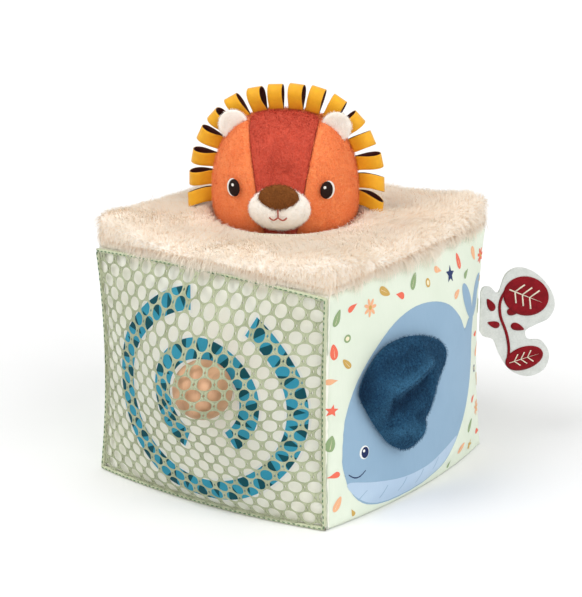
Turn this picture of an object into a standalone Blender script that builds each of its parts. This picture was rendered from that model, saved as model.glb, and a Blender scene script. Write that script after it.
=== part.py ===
# Soft activity cube: a padded block with a furry top, a plush lion on a tether in a pocket, a net
# with a loose ball behind it, a plush flap that lifts, and a felt tag sewn into a corner seam.
# Metres, +Z up. The origin is the middle of the base, on the floor. -Y is the net side and +X the
# flap side.

import math

import bmesh
import bpy
from mathutils import Matrix, Vector

MM = 0.001

# Clearances that every piece shares
GAP = 0.3 * MM  # between pieces that touch
OVERRUN = 2 * MM  # how far a cutter runs past what it cuts
MERGE = 0.01 * MM  # points closer than this are one point

# Block of foam and its cloth sides
SIDE = 170 * MM  # from corner seam to corner seam, at the floor
PANEL_HEIGHT = 142.5 * MM  # top seam of the side panels
FACE_CROWN = 13 * MM  # how far a side bows out at its top and bottom seams
BELLY = 6 * MM  # how much more it bows out half way up
PINCH = 3 * MM  # how far the corner seams are drawn in half way up
PANEL_THICKNESS = 3 * MM
BASE_THICKNESS = 3 * MM
CORE_CLEARANCE = 0.6 * MM  # between the foam and the cloth round it
SIDE_COLUMNS = 8
SIDE_ROWS = 8

# Fur top
CAP_HEIGHT = 21 * MM  # pile and backing above the side panels
CAP_DISH = 4.5 * MM  # how far the middle sinks round the lion
CORNER_RISE = 10 * MM  # how far the corners stand up
EDGE_ROLL = 9 * MM  # how far the top falls away at its very edge
EDGE_POWER = 14
PILE_OVERHANG = 2 * MM
CAP_COLUMNS = 11

# Lion's head, measured from the middle of its widest level
HEAD_HALF_WIDTH = 45 * MM
HEAD_HALF_DEPTH = 38 * MM
HEAD_RISE = 49.5 * MM
HEAD_DROP = 40 * MM
HEAD_LIFT = 13.5 * MM  # widest level above the fur round it
HEAD_POWER = 2.4  # 2 is an ellipsoid, more is squarer
HEAD_SKIN = 1.5 * MM
HEAD_TURN = 30  # degrees from the net side towards the flap side
HEAD_SEGMENTS = 24
HEAD_RINGS = 14
SEAM_DEPTH = 2.5 * MM  # mane seam, behind the widest line
GUSSET_TOP_HALF = 23.4 * MM
GUSSET_BROW_HALF = 13.2 * MM  # at the nose
BROW_HEIGHT = 9 * MM

# Muzzle, nose, ears and eyes
MUZZLE_HALF_WIDTH = 18.5 * MM
MUZZLE_HALF_HEIGHT = 13 * MM
MUZZLE_BULGE = 7.5 * MM  # in front of the face
MUZZLE_SEAT = 8 * MM  # behind the face
MUZZLE_HEIGHT = -2.5 * MM
NOSE_HALF_WIDTH = 12 * MM
NOSE_HALF_HEIGHT = 7 * MM
NOSE_BULGE = 2 * MM  # in front of the muzzle
NOSE_SEAT = 5 * MM
NOSE_HEIGHT = 7.5 * MM
EAR_RADIUS = 10.5 * MM
EAR_HALF_THICKNESS = 4 * MM
EAR_ACROSS = 31 * MM
EAR_HEIGHT = 40.5 * MM
EAR_CLEARANCE = 1 * MM  # in front of the mane
EYE_HALF_WIDTH = 4.4 * MM
EYE_HALF_HEIGHT = 6 * MM
EYE_BULGE = 1 * MM
EYE_SEAT = 3 * MM
EYE_ACROSS = 28 * MM
EYE_HEIGHT = 8.5 * MM

# Mane of ribbon loops
RIBBON_WIDTH = 9 * MM
RIBBON_THICKNESS = 0.7 * MM
LOOP_LENGTH = 15.5 * MM
LOOP_DEPTH = 7 * MM
LOOP_SPACE = 1.8 * MM  # least space between neighbours
LOOP_POINTS = 10
MANE_START_DEGREES = -6.5  # round the head from its right side
MANE_END_DEGREES = 186.5
MANE_SAMPLES = 200

# Lion's body and the pocket it sits in, a little off the middle of the block
POCKET_ACROSS = -4.2 * MM
POCKET_DEPTH = -3 * MM
BODY_RADIUS = 30 * MM
BODY_LENGTH = 58 * MM  # below the head
BODY_ROUND = 9 * MM
BODY_CLEARANCE = 3 * MM
RIM_CLEARANCE = 3.5 * MM  # round the head
LINER_THICKNESS = 1.5 * MM
TETHER_DROP = 24 * MM  # folded ribbon below the body
TETHER_WIDTH = 12 * MM
TETHER_THICKNESS = 0.8 * MM
TETHER_FOLD_HALF = 9 * MM
TETHER_FOLDS = 5
ROUND_STEPS = 28

# Ball behind the net
BALL_RADIUS = 17.5 * MM
BALL_ACROSS = 19 * MM
BALL_HEIGHT = 83 * MM

# Net and its bound edge
NET_PITCH_ACROSS = 12.6 * MM
NET_PITCH_UP = 8.2 * MM
NET_STRAND = 1.3 * MM
NET_CLEARANCE = 0.9 * MM  # over the ball
NET_WRAP = 55  # degrees of the ball, from its front, that the net lies on
BINDING_RADIUS = 1.1 * MM
BINDING_POINTS = SIDE_COLUMNS  # on each side
BINDING_STAND = 1.9 * MM  # its middle, off the cloth
NET_EDGE_FADE = 6  # power with which the tent dies out at the bound edge

# Plush flap on the right side
FLAP_HALF_WIDTH = 38 * MM
FLAP_HALF_HEIGHT = 36 * MM
FLAP_ACROSS = -28 * MM
FLAP_HEIGHT = 72 * MM
FLAP_PUFF = 13 * MM
FLAP_DISH = 5 * MM
HINGE_STAND = 5 * MM  # fold line off the cloth
LINING_THICKNESS = 1.2 * MM
FILM_THICKNESS = 0.6 * MM
FILM_MARGIN = 4 * MM
FLAP_SEGMENTS = 28
FLAP_RINGS = 10
# Outline, as shares of the flap's half width and half height, from its left side down and round
FLAP_OUTLINE_SHARES = (
    (-1.0, 0.24), (-0.86, -0.13), (-0.68, -0.45), (-0.46, -0.75), (-0.11, -0.98), (0.2, -0.98),
    (0.38, -0.86), (0.51, -0.52), (0.72, -0.3), (0.92, 0.02), (1.0, 0.34), (0.82, 0.64),
    (0.43, 0.9), (-0.05, 1.0), (-0.52, 0.94), (-0.84, 0.64),
)

# Felt tag in the corner seam
TAG_REACH = 48 * MM
TAG_TALL = 72 * MM
TAG_BOTTOM = 44 * MM
TAG_FELT = 1.6 * MM
TAG_MOTIF = 0.5 * MM
TAG_CLEARANCE = 0.65 * MM  # from the corner seam to the felt, so that it can bend
TAG_ROOT_TOP_SHARE = 0.8  # top of the sewn edge
# Outline of the sprig, as shares of the tag's reach and height
TAG_OUTLINE_SHARES = (
    (0.0, 0.44), (0.0, TAG_ROOT_TOP_SHARE), (0.12, 0.84), (0.24, 0.78), (0.33, 0.94), (0.50, 1.0), (0.72, 0.95),
    (0.91, 0.82), (1.0, 0.66), (0.93, 0.53), (0.75, 0.47), (0.62, 0.42), (0.66, 0.34), (0.84, 0.32),
    (0.95, 0.19), (0.88, 0.05), (0.66, 0.0), (0.42, 0.07), (0.27, 0.22), (0.18, 0.36),
)
# Leaf shapes on the felt: middle and half sizes as shares of reach and height, and tilt in degrees
TAG_LEAF_SHARES = ((0.62, 0.74, 0.29, 0.17, -24), (0.62, 0.17, 0.24, 0.1, 14))
TAG_LEAF_POINTS = 24


# Colours of the cloths, as (red, green, blue), with their roughness
FINISHES = {
    "foam": ((0.86, 0.84, 0.78), 0.95),
    "ivory_cotton": ((0.84, 0.86, 0.74), 0.9),
    "mint_cotton": ((0.78, 0.88, 0.78), 0.9),
    "cream_fur": ((0.93, 0.84, 0.74), 1.0),
    "lining": ((0.85, 0.8, 0.7), 0.9),
    "net_cord": ((0.52, 0.6, 0.44), 0.8),
    "binding_green": ((0.33, 0.47, 0.33), 0.85),
    "orange_plush": ((0.9, 0.3, 0.09), 0.95),
    "brick_plush": ((0.58, 0.11, 0.06), 0.95),
    "cream_plush": ((0.93, 0.82, 0.67), 0.95),
    "brown_plush": ((0.16, 0.08, 0.03), 0.95),
    "ribbon": ((0.82, 0.42, 0.02), 0.6),
    "thread_black": ((0.03, 0.02, 0.02), 0.5),
    "blue_plush": ((0.03, 0.09, 0.17), 0.95),
    "crinkle_film": ((0.8, 0.82, 0.84), 0.3),
    "ball_wood": ((0.68, 0.38, 0.2), 0.5),
    "white_felt": ((0.75, 0.78, 0.74), 0.9),
    "dark_red_felt": ((0.28, 0.02, 0.03), 0.9),
}


# Worked out from the sizes above
def rest_height(reach_share):
    # Height of the fur on the block's middle line, at a share of the way to the edge
    return PANEL_HEIGHT + CAP_HEIGHT - CAP_DISH * (1 - reach_share**2)


LINER_RADIUS = BODY_RADIUS + BODY_CLEARANCE
RIM_RADIUS = HEAD_HALF_WIDTH + RIM_CLEARANCE
HEAD_HEIGHT = rest_height(2 * RIM_RADIUS / SIDE) + HEAD_LIFT
HEAD_BOTTOM = HEAD_HEIGHT - HEAD_DROP
LINER_TOP = min(HEAD_BOTTOM, PANEL_HEIGHT) - GAP
BODY_BOTTOM = HEAD_BOTTOM - BODY_LENGTH
LINER_FLOOR = BODY_BOTTOM - TETHER_DROP


def new_material(name):
    # One Principled material for a finish
    colour, roughness = FINISHES[name]
    made = bpy.data.materials.new(name)
    made.use_nodes = True
    shader = made.node_tree.nodes["Principled BSDF"]
    shader.inputs["Base Color"].default_value = (*colour, 1)
    shader.inputs["Roughness"].default_value = roughness
    shader.inputs["Metallic"].default_value = 0
    made.diffuse_color = (*colour, 1)
    return made


def boxed_piece(name, bm, finish):
    # The same from a bent sheet, whose faces are turned outwards first
    bmesh.ops.recalc_face_normals(bm, faces=bm.faces)
    return piece(name, bm, finish)


def place(obj, finish, parent=None):
    # Links a piece to the model, with its material and its parent empty
    model.objects.link(obj)
    if finish:
        obj.data.materials.clear()
        obj.data.materials.append(materials[finish])
    obj.parent = parent
    return obj


def piece(name, bm, finish, parent=None):
    # A named piece from a bmesh, shaded smooth
    mesh = bpy.data.meshes.new(name)
    bm.to_mesh(mesh)
    bm.free()
    mesh.shade_smooth()
    mesh.set_sharp_from_angle(angle=math.radians(40))
    return place(bpy.data.objects.new(name, mesh), finish, parent)


def cutter(name, bm, parent=None):
    # A shape that only cuts others
    mesh = bpy.data.meshes.new(name)
    bm.to_mesh(mesh)
    bm.free()
    return hide_cutter(bpy.data.objects.new(name, mesh), parent)


def hide_cutter(obj, parent=None):
    cutters.objects.link(obj)
    obj.parent = parent
    obj.hide_render = True
    obj.display_type = "WIRE"
    return obj


def cut(obj, tool):
    # Takes the tool's shape out of the piece
    made = obj.modifiers.new("cut " + tool.name, "BOOLEAN")
    made.operation = "DIFFERENCE"
    made.solver = "EXACT"
    made.object = tool


def empty(name, location, turn=0.0, parent=None):
    # An empty that carries a moving body, on its joint
    made = bpy.data.objects.new(name, None)
    model.objects.link(made)
    made.location = location
    made.rotation_euler = (0, 0, turn)
    made.parent = parent
    return made


def turned_mesh(name, profile, steps=ROUND_STEPS):
    # Turns a profile of (radius, height) points, outer side downwards, round Z
    mesh = bpy.data.meshes.new(name)
    edges = [(i, i + 1) for i in range(len(profile) - 1)]
    if profile[0][0] > MERGE:
        edges.append((len(profile) - 1, 0))
    mesh.from_pydata([(r, 0, z) for r, z in profile], edges, [])
    obj = bpy.data.objects.new(name, mesh)
    screw = obj.modifiers.new("turn", "SCREW")
    screw.axis = "Z"
    screw.steps = steps
    screw.render_steps = steps
    screw.use_merge_vertices = True
    screw.merge_threshold = MERGE
    return obj


def closed_curve(points, share):
    # A smooth closed line through the points; share runs from 0 to 1 once round
    count = len(points)
    place_on = (share % 1) * count
    i = int(place_on) % count
    t = place_on - int(place_on)
    a, b, c, d = (Vector(points[(i + k) % count]) for k in (-1, 0, 1, 2))
    return ((b * 2) + (c - a) * t + (a * 2 - b * 5 + c * 4 - d) * t**2
            + (b * 3 - a - c * 3 + d) * t**3) / 2


def sag_share(z):
    # 1 half way up the side panels, 0 at their seams and above
    return max(0.0, 1 - (2 * z / PANEL_HEIGHT - 1) ** 2)


def block_point(u, v, z, inset=0.0):
    # A point of the block; u and v run from -1 to 1 across it, and inset steps in from its cloth
    half = SIDE / 2 - PINCH * sag_share(z) - inset
    crown = FACE_CROWN + BELLY * sag_share(z)
    return Vector((u * (half + crown * (1 - v * v)), v * (half + crown * (1 - u * u)), z))


def cloth_reach(across, z):
    # How far a side's cloth stands from the block's middle plane
    half = SIDE / 2 - PINCH * sag_share(z)
    crown = FACE_CROWN + BELLY * sag_share(z)
    return half + crown * (1 - (across / half) ** 2)


def cloth_slope(across, z):
    # How fast that reach falls to either side
    half = SIDE / 2 - PINCH * sag_share(z)
    crown = FACE_CROWN + BELLY * sag_share(z)
    return -2 * crown * across / half**2


def grid_sheet(columns, rows):
    # A sheet from -1 to 1 across and up, and from 0 to 1 deep
    bm = bmesh.new()
    bmesh.ops.create_grid(bm, x_segments=columns, y_segments=rows, size=1)
    deep = bmesh.ops.extrude_face_region(bm, geom=bm.faces[:])["geom"]
    moved = [g for g in deep if isinstance(g, bmesh.types.BMVert)]
    bmesh.ops.translate(bm, verts=moved, vec=(0, 0, 1))
    return bm


def side_panel(name, finish, quarter_turns):
    # One cloth side, mitred at its corner seams
    bm = grid_sheet(SIDE_COLUMNS, SIDE_ROWS)
    seam = 1 - 2 * GAP / SIDE
    turn = Matrix.Rotation(math.radians(90) * quarter_turns, 3, "Z")
    low = GAP
    for vert in bm.verts:
        across, up, deep = vert.co
        z = low + (PANEL_HEIGHT - low) * (up + 1) / 2
        vert.co = turn @ block_point(across * seam, -1, z, deep * PANEL_THICKNESS)
    return boxed_piece(name, bm, finish)


def base_panel():
    bm = grid_sheet(SIDE_COLUMNS, SIDE_COLUMNS)
    for vert in bm.verts:
        u, v, up = vert.co
        vert.co = block_point(u, v, 0, PANEL_THICKNESS + GAP) + Vector((0, 0, up * BASE_THICKNESS))
    bmesh.ops.dissolve_limit(bm, angle_limit=math.radians(1), verts=bm.verts, edges=bm.edges)
    return boxed_piece("base_panel", bm, "mint_cotton")


def foam_core():
    bm = bmesh.new()
    bmesh.ops.create_cube(bm, size=2)
    bmesh.ops.subdivide_edges(bm, edges=bm.edges[:], cuts=SIDE_COLUMNS - 1, use_grid_fill=True)
    low = BASE_THICKNESS + GAP
    for vert in bm.verts:
        u, v, up = vert.co
        z = low + (PANEL_HEIGHT - low) * (up + 1) / 2
        vert.co = block_point(u, v, z, PANEL_THICKNESS + CORE_CLEARANCE)
    return boxed_piece("foam_core", bm, "foam")


def fur_height(u, v):
    # Top of the pile
    dish = CAP_DISH * (1 - u * u) * (1 - v * v)
    roll = EDGE_ROLL * max(abs(u), abs(v)) ** EDGE_POWER
    return PANEL_HEIGHT + CAP_HEIGHT + CORNER_RISE * (u * v) ** 2 - dish - roll


def fur_top():
    bm = grid_sheet(CAP_COLUMNS, CAP_COLUMNS)
    for vert in bm.verts:
        u, v, up = vert.co
        z = fur_height(u, v) if up > 0.5 else PANEL_HEIGHT + GAP
        vert.co = block_point(u, v, PANEL_HEIGHT, -PILE_OVERHANG)
        vert.co.z = z
    return boxed_piece("fur_top", bm, "cream_fur")


def head_half_width_at(below):
    # Half width of the head, below its widest level
    share = min(1.0, below / HEAD_DROP)
    return HEAD_HALF_WIDTH * (1 - share**HEAD_POWER) ** (1 / HEAD_POWER)


def pocket_cutter():
    # The mouth follows the head, and the rest takes the liner
    wall = LINER_RADIUS + LINER_THICKNESS + GAP
    steps = 8
    levels = [HEAD_DROP * k / steps for k in range(steps + 1)]
    mouth = [(max(wall, head_half_width_at(below) + RIM_CLEARANCE), HEAD_HEIGHT - below)
             for below in levels]
    top = HEAD_HEIGHT + OVERRUN
    floor = LINER_FLOOR - LINER_THICKNESS - GAP
    profile = [(0, top), (mouth[0][0], top), *mouth, (wall, LINER_TOP - GAP), (wall, floor), (0, floor)]
    space = hide_cutter(turned_mesh("pocket_space", profile))
    space.location = (POCKET_ACROSS, POCKET_DEPTH, 0)
    return space


def pocket_liner():
    inner, outer = LINER_RADIUS, LINER_RADIUS + LINER_THICKNESS
    top, floor, under = LINER_TOP, LINER_FLOOR, LINER_FLOOR - LINER_THICKNESS
    profile = [(0, floor), (inner, floor), (inner, top), (outer, top), (outer, under), (0, under)]
    liner = place(turned_mesh("pocket_liner", profile), "lining")
    liner.location = (POCKET_ACROSS, POCKET_DEPTH, 0)


def head_shape(grow):
    # The whole head, grown by a margin, measured from its widest level
    width, depth = HEAD_HALF_WIDTH + grow, HEAD_HALF_DEPTH + grow
    bm = bmesh.new()
    bmesh.ops.create_uvsphere(bm, u_segments=HEAD_SEGMENTS, v_segments=HEAD_RINGS, radius=1)
    for vert in bm.verts:
        x, y, z = vert.co
        tall = (HEAD_RISE if z > 0 else HEAD_DROP) + grow
        total = (abs(x) / width) ** HEAD_POWER + (abs(y) / depth) ** HEAD_POWER
        total += (abs(z) / tall) ** HEAD_POWER
        vert.co *= total ** (-1 / HEAD_POWER)
    return bm


def keep_side(bm, point, normal):
    # Cuts the solid at a plane, keeps what lies against the normal, and closes the cut
    geometry = bm.verts[:] + bm.edges[:] + bm.faces[:]
    bmesh.ops.bisect_plane(bm, geom=geometry, plane_co=point, plane_no=normal, clear_outer=True)
    bmesh.ops.holes_fill(bm, edges=[e for e in bm.edges if e.is_boundary], sides=0)


def gusset_plane(side):
    # Point and outward normal of the gusset's seam on one side, before its gap
    fall = HEAD_RISE - BROW_HEIGHT
    lean = math.atan2(GUSSET_TOP_HALF - GUSSET_BROW_HALF, fall)
    point = Vector((side * GUSSET_BROW_HALF, 0, BROW_HEIGHT))
    return point, Vector((side * math.cos(lean), 0, -math.sin(lean)))


def head_panel(name, finish, planes):
    # One sewn panel of the head's skin, between the planes given as (point, normal)
    bm = head_shape(0)
    for point, normal in planes:
        keep_side(bm, point - normal * (GAP / 2), normal)
    bmesh.ops.recalc_face_normals(bm, faces=bm.faces)
    made = piece(name, bm, finish, lion)
    cut(made, head_inside)
    return made


def head_panels():
    forward = Vector((0, -1, 0))
    seam = Vector((0, SEAM_DEPTH, 0))
    front = (seam, -forward)
    head_panel("head_back", "orange_plush", [(seam, forward)])
    head_panel("head_gusset", "brick_plush", [front, gusset_plane(1), gusset_plane(-1)])
    for name, side in (("cheek_left", -1), ("cheek_right", 1)):
        point, normal = gusset_plane(side)
        head_panel(name, "orange_plush", [front, (point, -normal)])


def ball_shape(half_sizes, middle, segments=14, rings=9, tilt=0.0):
    # A soft ellipsoid
    bm = bmesh.new()
    bmesh.ops.create_uvsphere(bm, u_segments=segments, v_segments=rings, radius=1)
    turn = Matrix.Translation(middle) @ Matrix.Rotation(tilt, 4, "Y") @ Matrix.Diagonal((*half_sizes, 1))
    bmesh.ops.transform(bm, matrix=turn, verts=bm.verts)
    return bm


def face_depth_at(x, z):
    # How far the face stands in front of the head's middle, at a place on it
    tall = HEAD_RISE if z > 0 else HEAD_DROP
    rest = 1 - (abs(x) / HEAD_HALF_WIDTH) ** HEAD_POWER - (abs(z) / tall) ** HEAD_POWER
    return HEAD_HALF_DEPTH * max(rest, 0) ** (1 / HEAD_POWER)


def muzzle_shape(grow):
    middle = -(face_depth_at(0, MUZZLE_HEIGHT) + (MUZZLE_BULGE - MUZZLE_SEAT) / 2)
    deep = (MUZZLE_BULGE + MUZZLE_SEAT) / 2
    sizes = (MUZZLE_HALF_WIDTH + grow, deep + grow, MUZZLE_HALF_HEIGHT + grow)
    return ball_shape(sizes, (0, middle, MUZZLE_HEIGHT), segments=18, rings=11)


def lion_face():
    head_room = cutter("head_room", head_shape(GAP), lion)
    muzzle_room = cutter("muzzle_room", muzzle_shape(GAP), lion)
    cut(piece("muzzle", muzzle_shape(0), "cream_plush", lion), head_room)

    tip = -(face_depth_at(0, MUZZLE_HEIGHT) + MUZZLE_BULGE * math.sqrt(1 - (
        min(1.0, (NOSE_HEIGHT - MUZZLE_HEIGHT) / MUZZLE_HALF_HEIGHT)) ** 2))
    tip = min(tip, -face_depth_at(0, NOSE_HEIGHT))
    deep = (NOSE_BULGE + NOSE_SEAT) / 2
    sizes = (NOSE_HALF_WIDTH, deep, NOSE_HALF_HEIGHT)
    nose = piece("nose", ball_shape(sizes, (0, tip - NOSE_BULGE + deep, NOSE_HEIGHT)), "brown_plush", lion)
    cut(nose, head_room)
    cut(nose, muzzle_room)

    for name, side in (("left", -1), ("right", 1)):
        ear_depth = SEAM_DEPTH - LOOP_DEPTH / 2 - RIBBON_THICKNESS - EAR_CLEARANCE - EAR_HALF_THICKNESS
        ear = ball_shape((EAR_RADIUS, EAR_HALF_THICKNESS, EAR_RADIUS), (side * EAR_ACROSS, ear_depth, EAR_HEIGHT))
        cut(piece("ear_" + name, ear, "cream_plush", lion), head_room)
        middle = -(face_depth_at(EYE_ACROSS, EYE_HEIGHT) + (EYE_BULGE - EYE_SEAT) / 2)
        sizes = (EYE_HALF_WIDTH, (EYE_BULGE + EYE_SEAT) / 2, EYE_HALF_HEIGHT)
        eye = ball_shape(sizes, (side * EYE_ACROSS, middle, EYE_HEIGHT), segments=12, rings=7)
        cut(piece("eye_" + name, eye, "thread_black", lion), head_room)
    return head_room


def lion_body(head_room):
    bottom = BODY_BOTTOM - HEAD_HEIGHT
    rounding = [(BODY_RADIUS - BODY_ROUND * (1 - math.cos(a)), bottom + BODY_ROUND * (1 - math.sin(a)))
                for a in (math.radians(d) for d in (0, 30, 60, 90))]
    profile = [(0, -HEAD_DROP / 2), (BODY_RADIUS, -HEAD_DROP / 2), *rounding, (0, bottom)]
    body = place(turned_mesh("lion_body", profile), "orange_plush", lion)
    cut(body, head_room)


def outline_places():
    # Evenly spaced places round the head's outline, as (x, z, outward angle)
    places, length = [], [0.0]
    for k in range(MANE_SAMPLES + 1):
        a = math.radians(MANE_START_DEGREES + (MANE_END_DEGREES - MANE_START_DEGREES) * k / MANE_SAMPLES)
        tall = HEAD_RISE if math.sin(a) > 0 else HEAD_DROP
        total = (abs(math.cos(a)) / HEAD_HALF_WIDTH) ** HEAD_POWER + (abs(math.sin(a)) / tall) ** HEAD_POWER
        reach = total ** (-1 / HEAD_POWER)
        x, z = reach * math.cos(a), reach * math.sin(a)
        slope_x = math.copysign(abs(x) ** (HEAD_POWER - 1) / HEAD_HALF_WIDTH**HEAD_POWER, x)
        slope_z = math.copysign(abs(z) ** (HEAD_POWER - 1) / tall**HEAD_POWER, z)
        if places:
            length.append(length[-1] + math.dist((x, z), places[-1][:2]))
        places.append((x, z, math.atan2(slope_z, slope_x)))
    count = int(length[-1] / (RIBBON_WIDTH + LOOP_SPACE))
    wanted = [length[-1] * k / count for k in range(count + 1)]
    return [places[min(range(len(length)), key=lambda i: abs(length[i] - w))] for w in wanted]


def loop_curve():
    # Ribbon out to the tip of a loop and back, along +X, as wide as the ribbon
    curve = bpy.data.curves.new("mane_ribbon", "CURVE")
    curve.dimensions = "2D"
    curve.fill_mode = "NONE"
    curve.extrude = RIBBON_WIDTH / 2
    spline = curve.splines.new("POLY")
    spline.points.add(LOOP_POINTS)
    for k, point in enumerate(spline.points):
        a = math.pi * (2 * k / LOOP_POINTS - 1)
        base = -RIBBON_THICKNESS * a / math.pi
        point.co = (LOOP_LENGTH * math.cos(a / 2), LOOP_DEPTH / 2 * math.sin(-a) + base, 0, 1)
    curve.materials.append(materials["ribbon"])
    return curve


def mane():
    curve = loop_curve()
    seat = GAP + RIBBON_THICKNESS / 2
    for number, (x, z, angle) in enumerate(reversed(outline_places()), 1):
        loop = place(bpy.data.objects.new(f"mane_loop_{number:02d}", curve), None, lion)
        out = Vector((math.cos(angle), 0, math.sin(angle)))
        back = Vector((0, 1, 0))
        axes = Matrix((out, back, out.cross(back))).transposed().to_4x4()
        loop.matrix_local = Matrix.Translation(Vector((x, SEAM_DEPTH, z)) + out * seat) @ axes
        thick = loop.modifiers.new("ribbon", "SOLIDIFY")
        thick.thickness = RIBBON_THICKNESS
        thick.offset = 0


def tether_ribbon():
    # Folded to and fro between the pocket's floor and the lion's body
    curve = bpy.data.curves.new("tether_ribbon", "CURVE")
    curve.dimensions = "2D"
    curve.fill_mode = "NONE"
    curve.extrude = TETHER_WIDTH / 2
    room = TETHER_DROP - 2 * GAP - TETHER_THICKNESS
    spline = curve.splines.new("POLY")
    spline.points.add(2 * TETHER_FOLDS - 1)
    for k, point in enumerate(spline.points):
        side = 1 if (k + 1) // 2 % 2 else -1
        point.co = (side * TETHER_FOLD_HALF, room * (k // 2 + k % 2 / 2) / (TETHER_FOLDS - 0.5), 0, 1)
    obj = place(bpy.data.objects.new("tether_ribbon", curve), "ribbon", tether)
    obj.rotation_euler = (math.radians(90), 0, 0)
    obj.location = (0, 0, LINER_FLOOR + GAP + TETHER_THICKNESS / 2)
    thick = obj.modifiers.new("ribbon", "SOLIDIFY")
    thick.thickness = TETHER_THICKNESS
    thick.offset = 0


def ball_reach():
    return cloth_reach(BALL_ACROSS, BALL_HEIGHT) + BALL_RADIUS + GAP


def loose_ball():
    bm = bmesh.new()
    bmesh.ops.create_uvsphere(bm, u_segments=18, v_segments=11, radius=BALL_RADIUS)
    made = piece("ball", bm, "ball_wood")
    made.location = (BALL_ACROSS, -ball_reach(), BALL_HEIGHT)


def net_lift(across, z):
    # How far the net stands off the cloth: over the ball like a tent, and down to the bound edge
    skin = BALL_RADIUS + NET_CLEARANCE + NET_STRAND
    wrap = math.radians(NET_WRAP)
    away = math.hypot(across - BALL_ACROSS, z - BALL_HEIGHT)
    near = skin * math.sin(wrap)
    if away < near:
        tent = BALL_RADIUS + math.sqrt(skin**2 - away**2)
    else:
        foot = BALL_RADIUS + skin * math.cos(wrap)
        tent = foot * math.exp((near - away) * math.tan(wrap) / foot)
    edge_across = min(1.0, abs(across) / (SIDE / 2))
    edge_up = min(1.0, abs(2 * z / PANEL_HEIGHT - 1))
    return tent * (1 - edge_across**NET_EDGE_FADE) * (1 - edge_up**NET_EDGE_FADE)


def net_margin():
    # From the edge of the side to the net's outer line
    return 2 * BINDING_RADIUS + 2 * GAP + NET_STRAND / 2


def net_frame(z):
    # Half width of the net inside its binding
    return SIDE / 2 - PINCH * sag_share(z) - net_margin()


def play_net():
    # Six-sided gaps, cut off at the bound edge and bent over the cloth and the ball
    half, low = net_frame(0), net_margin()
    high = PANEL_HEIGHT - low
    columns = math.ceil(2 * half / NET_PITCH_ACROSS) + 2
    rows = math.ceil((high - low) / NET_PITCH_UP) + 3
    bm = bmesh.new()
    for row in range(rows):
        for column in range(columns):
            x = -half + (column + 0.5 * (row % 2) - 0.5) * NET_PITCH_ACROSS
            z = low + (row - 1) * NET_PITCH_UP
            cell = bmesh.ops.create_circle(bm, cap_ends=True, segments=6, radius=1)["verts"]
            size = Matrix.Diagonal((NET_PITCH_ACROSS / math.sqrt(3), NET_PITCH_UP / 1.5, 1))
            for vert in cell:
                vert.co = size @ vert.co + Vector((x, z, 0))
    bmesh.ops.remove_doubles(bm, verts=bm.verts, dist=NET_STRAND / 4)
    for point, normal in (((half, 0, 0), (1, 0, 0)), ((-half, 0, 0), (-1, 0, 0)),
                          ((0, high, 0), (0, 1, 0)), ((0, low, 0), (0, -1, 0))):
        geometry = bm.verts[:] + bm.edges[:] + bm.faces[:]
        bmesh.ops.bisect_plane(bm, geom=geometry, plane_co=point, plane_no=normal, clear_outer=True)
    bmesh.ops.remove_doubles(bm, verts=bm.verts, dist=NET_STRAND)
    lift = GAP + NET_STRAND
    for vert in bm.verts:
        x, z = vert.co.x, vert.co.y
        x *= net_frame(z) / half
        vert.co = Vector((x, -(cloth_reach(x, z) + net_lift(x, z) + lift), z))
    mesh = bpy.data.meshes.new("play_net")
    bm.to_mesh(mesh)
    bm.free()
    net = place(bpy.data.objects.new("play_net", mesh), "net_cord")
    strands = net.modifiers.new("strands", "WIREFRAME")
    strands.thickness = NET_STRAND
    strands.use_even_offset = False
    strands.use_boundary = True


def net_binding():
    # A round bound edge, sewn round the net
    curve = bpy.data.curves.new("net_binding", "CURVE")
    curve.dimensions = "3D"
    curve.bevel_depth = BINDING_RADIUS
    curve.bevel_resolution = 1
    inset = BINDING_RADIUS + GAP
    low, high = inset, PANEL_HEIGHT - inset
    corners = [(-1, low), (1, low), (1, high), (-1, high)]
    places = []
    for (a, z0), (b, z1) in zip(corners, corners[1:] + corners[:1]):
        for k in range(BINDING_POINTS):
            t = k / BINDING_POINTS
            z = z0 + (z1 - z0) * t
            half = SIDE / 2 - PINCH * sag_share(z) - inset
            places.append(((a + (b - a) * t) * half, z))
    spline = curve.splines.new("POLY")
    spline.points.add(len(places) - 1)
    spline.use_cyclic_u = True
    for point, (x, z) in zip(spline.points, places):
        point.co = (x, -(cloth_reach(x, z) + BINDING_STAND), z, 1)
    place(bpy.data.objects.new("net_binding", curve), "binding_green")


def flap_layer(name, finish, margin, start, thickness):
    # One layer of the flap, following the cloth; thickness is a function of the share from its middle
    bm = bmesh.new()
    bmesh.ops.create_uvsphere(bm, u_segments=FLAP_SEGMENTS, v_segments=FLAP_RINGS, radius=1)
    wide, tall = FLAP_HALF_WIDTH - margin, FLAP_HALF_HEIGHT - margin
    hinge_y, hinge_z = FLAP_ACROSS, FLAP_HEIGHT + FLAP_HALF_HEIGHT
    hinge_x = cloth_reach(hinge_y, hinge_z) + HINGE_STAND
    for vert in bm.verts:
        share = min(1.0, math.hypot(vert.co.x, vert.co.y))
        turn = math.atan2(vert.co.y, vert.co.x) / (2 * math.pi)
        place_on = closed_curve(FLAP_OUTLINE_SHARES, turn)
        y = FLAP_ACROSS + place_on.x * wide * share
        z = FLAP_HEIGHT + place_on.y * tall * share
        up = (1 + max(-1.0, min(1.0, vert.co.z * 3))) / 2
        x = cloth_reach(y, z) + start + thickness(share) * up
        vert.co = Vector((x - hinge_x, y - hinge_y, z - hinge_z))
    return piece(name, bm, finish, flap_hinge)


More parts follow.
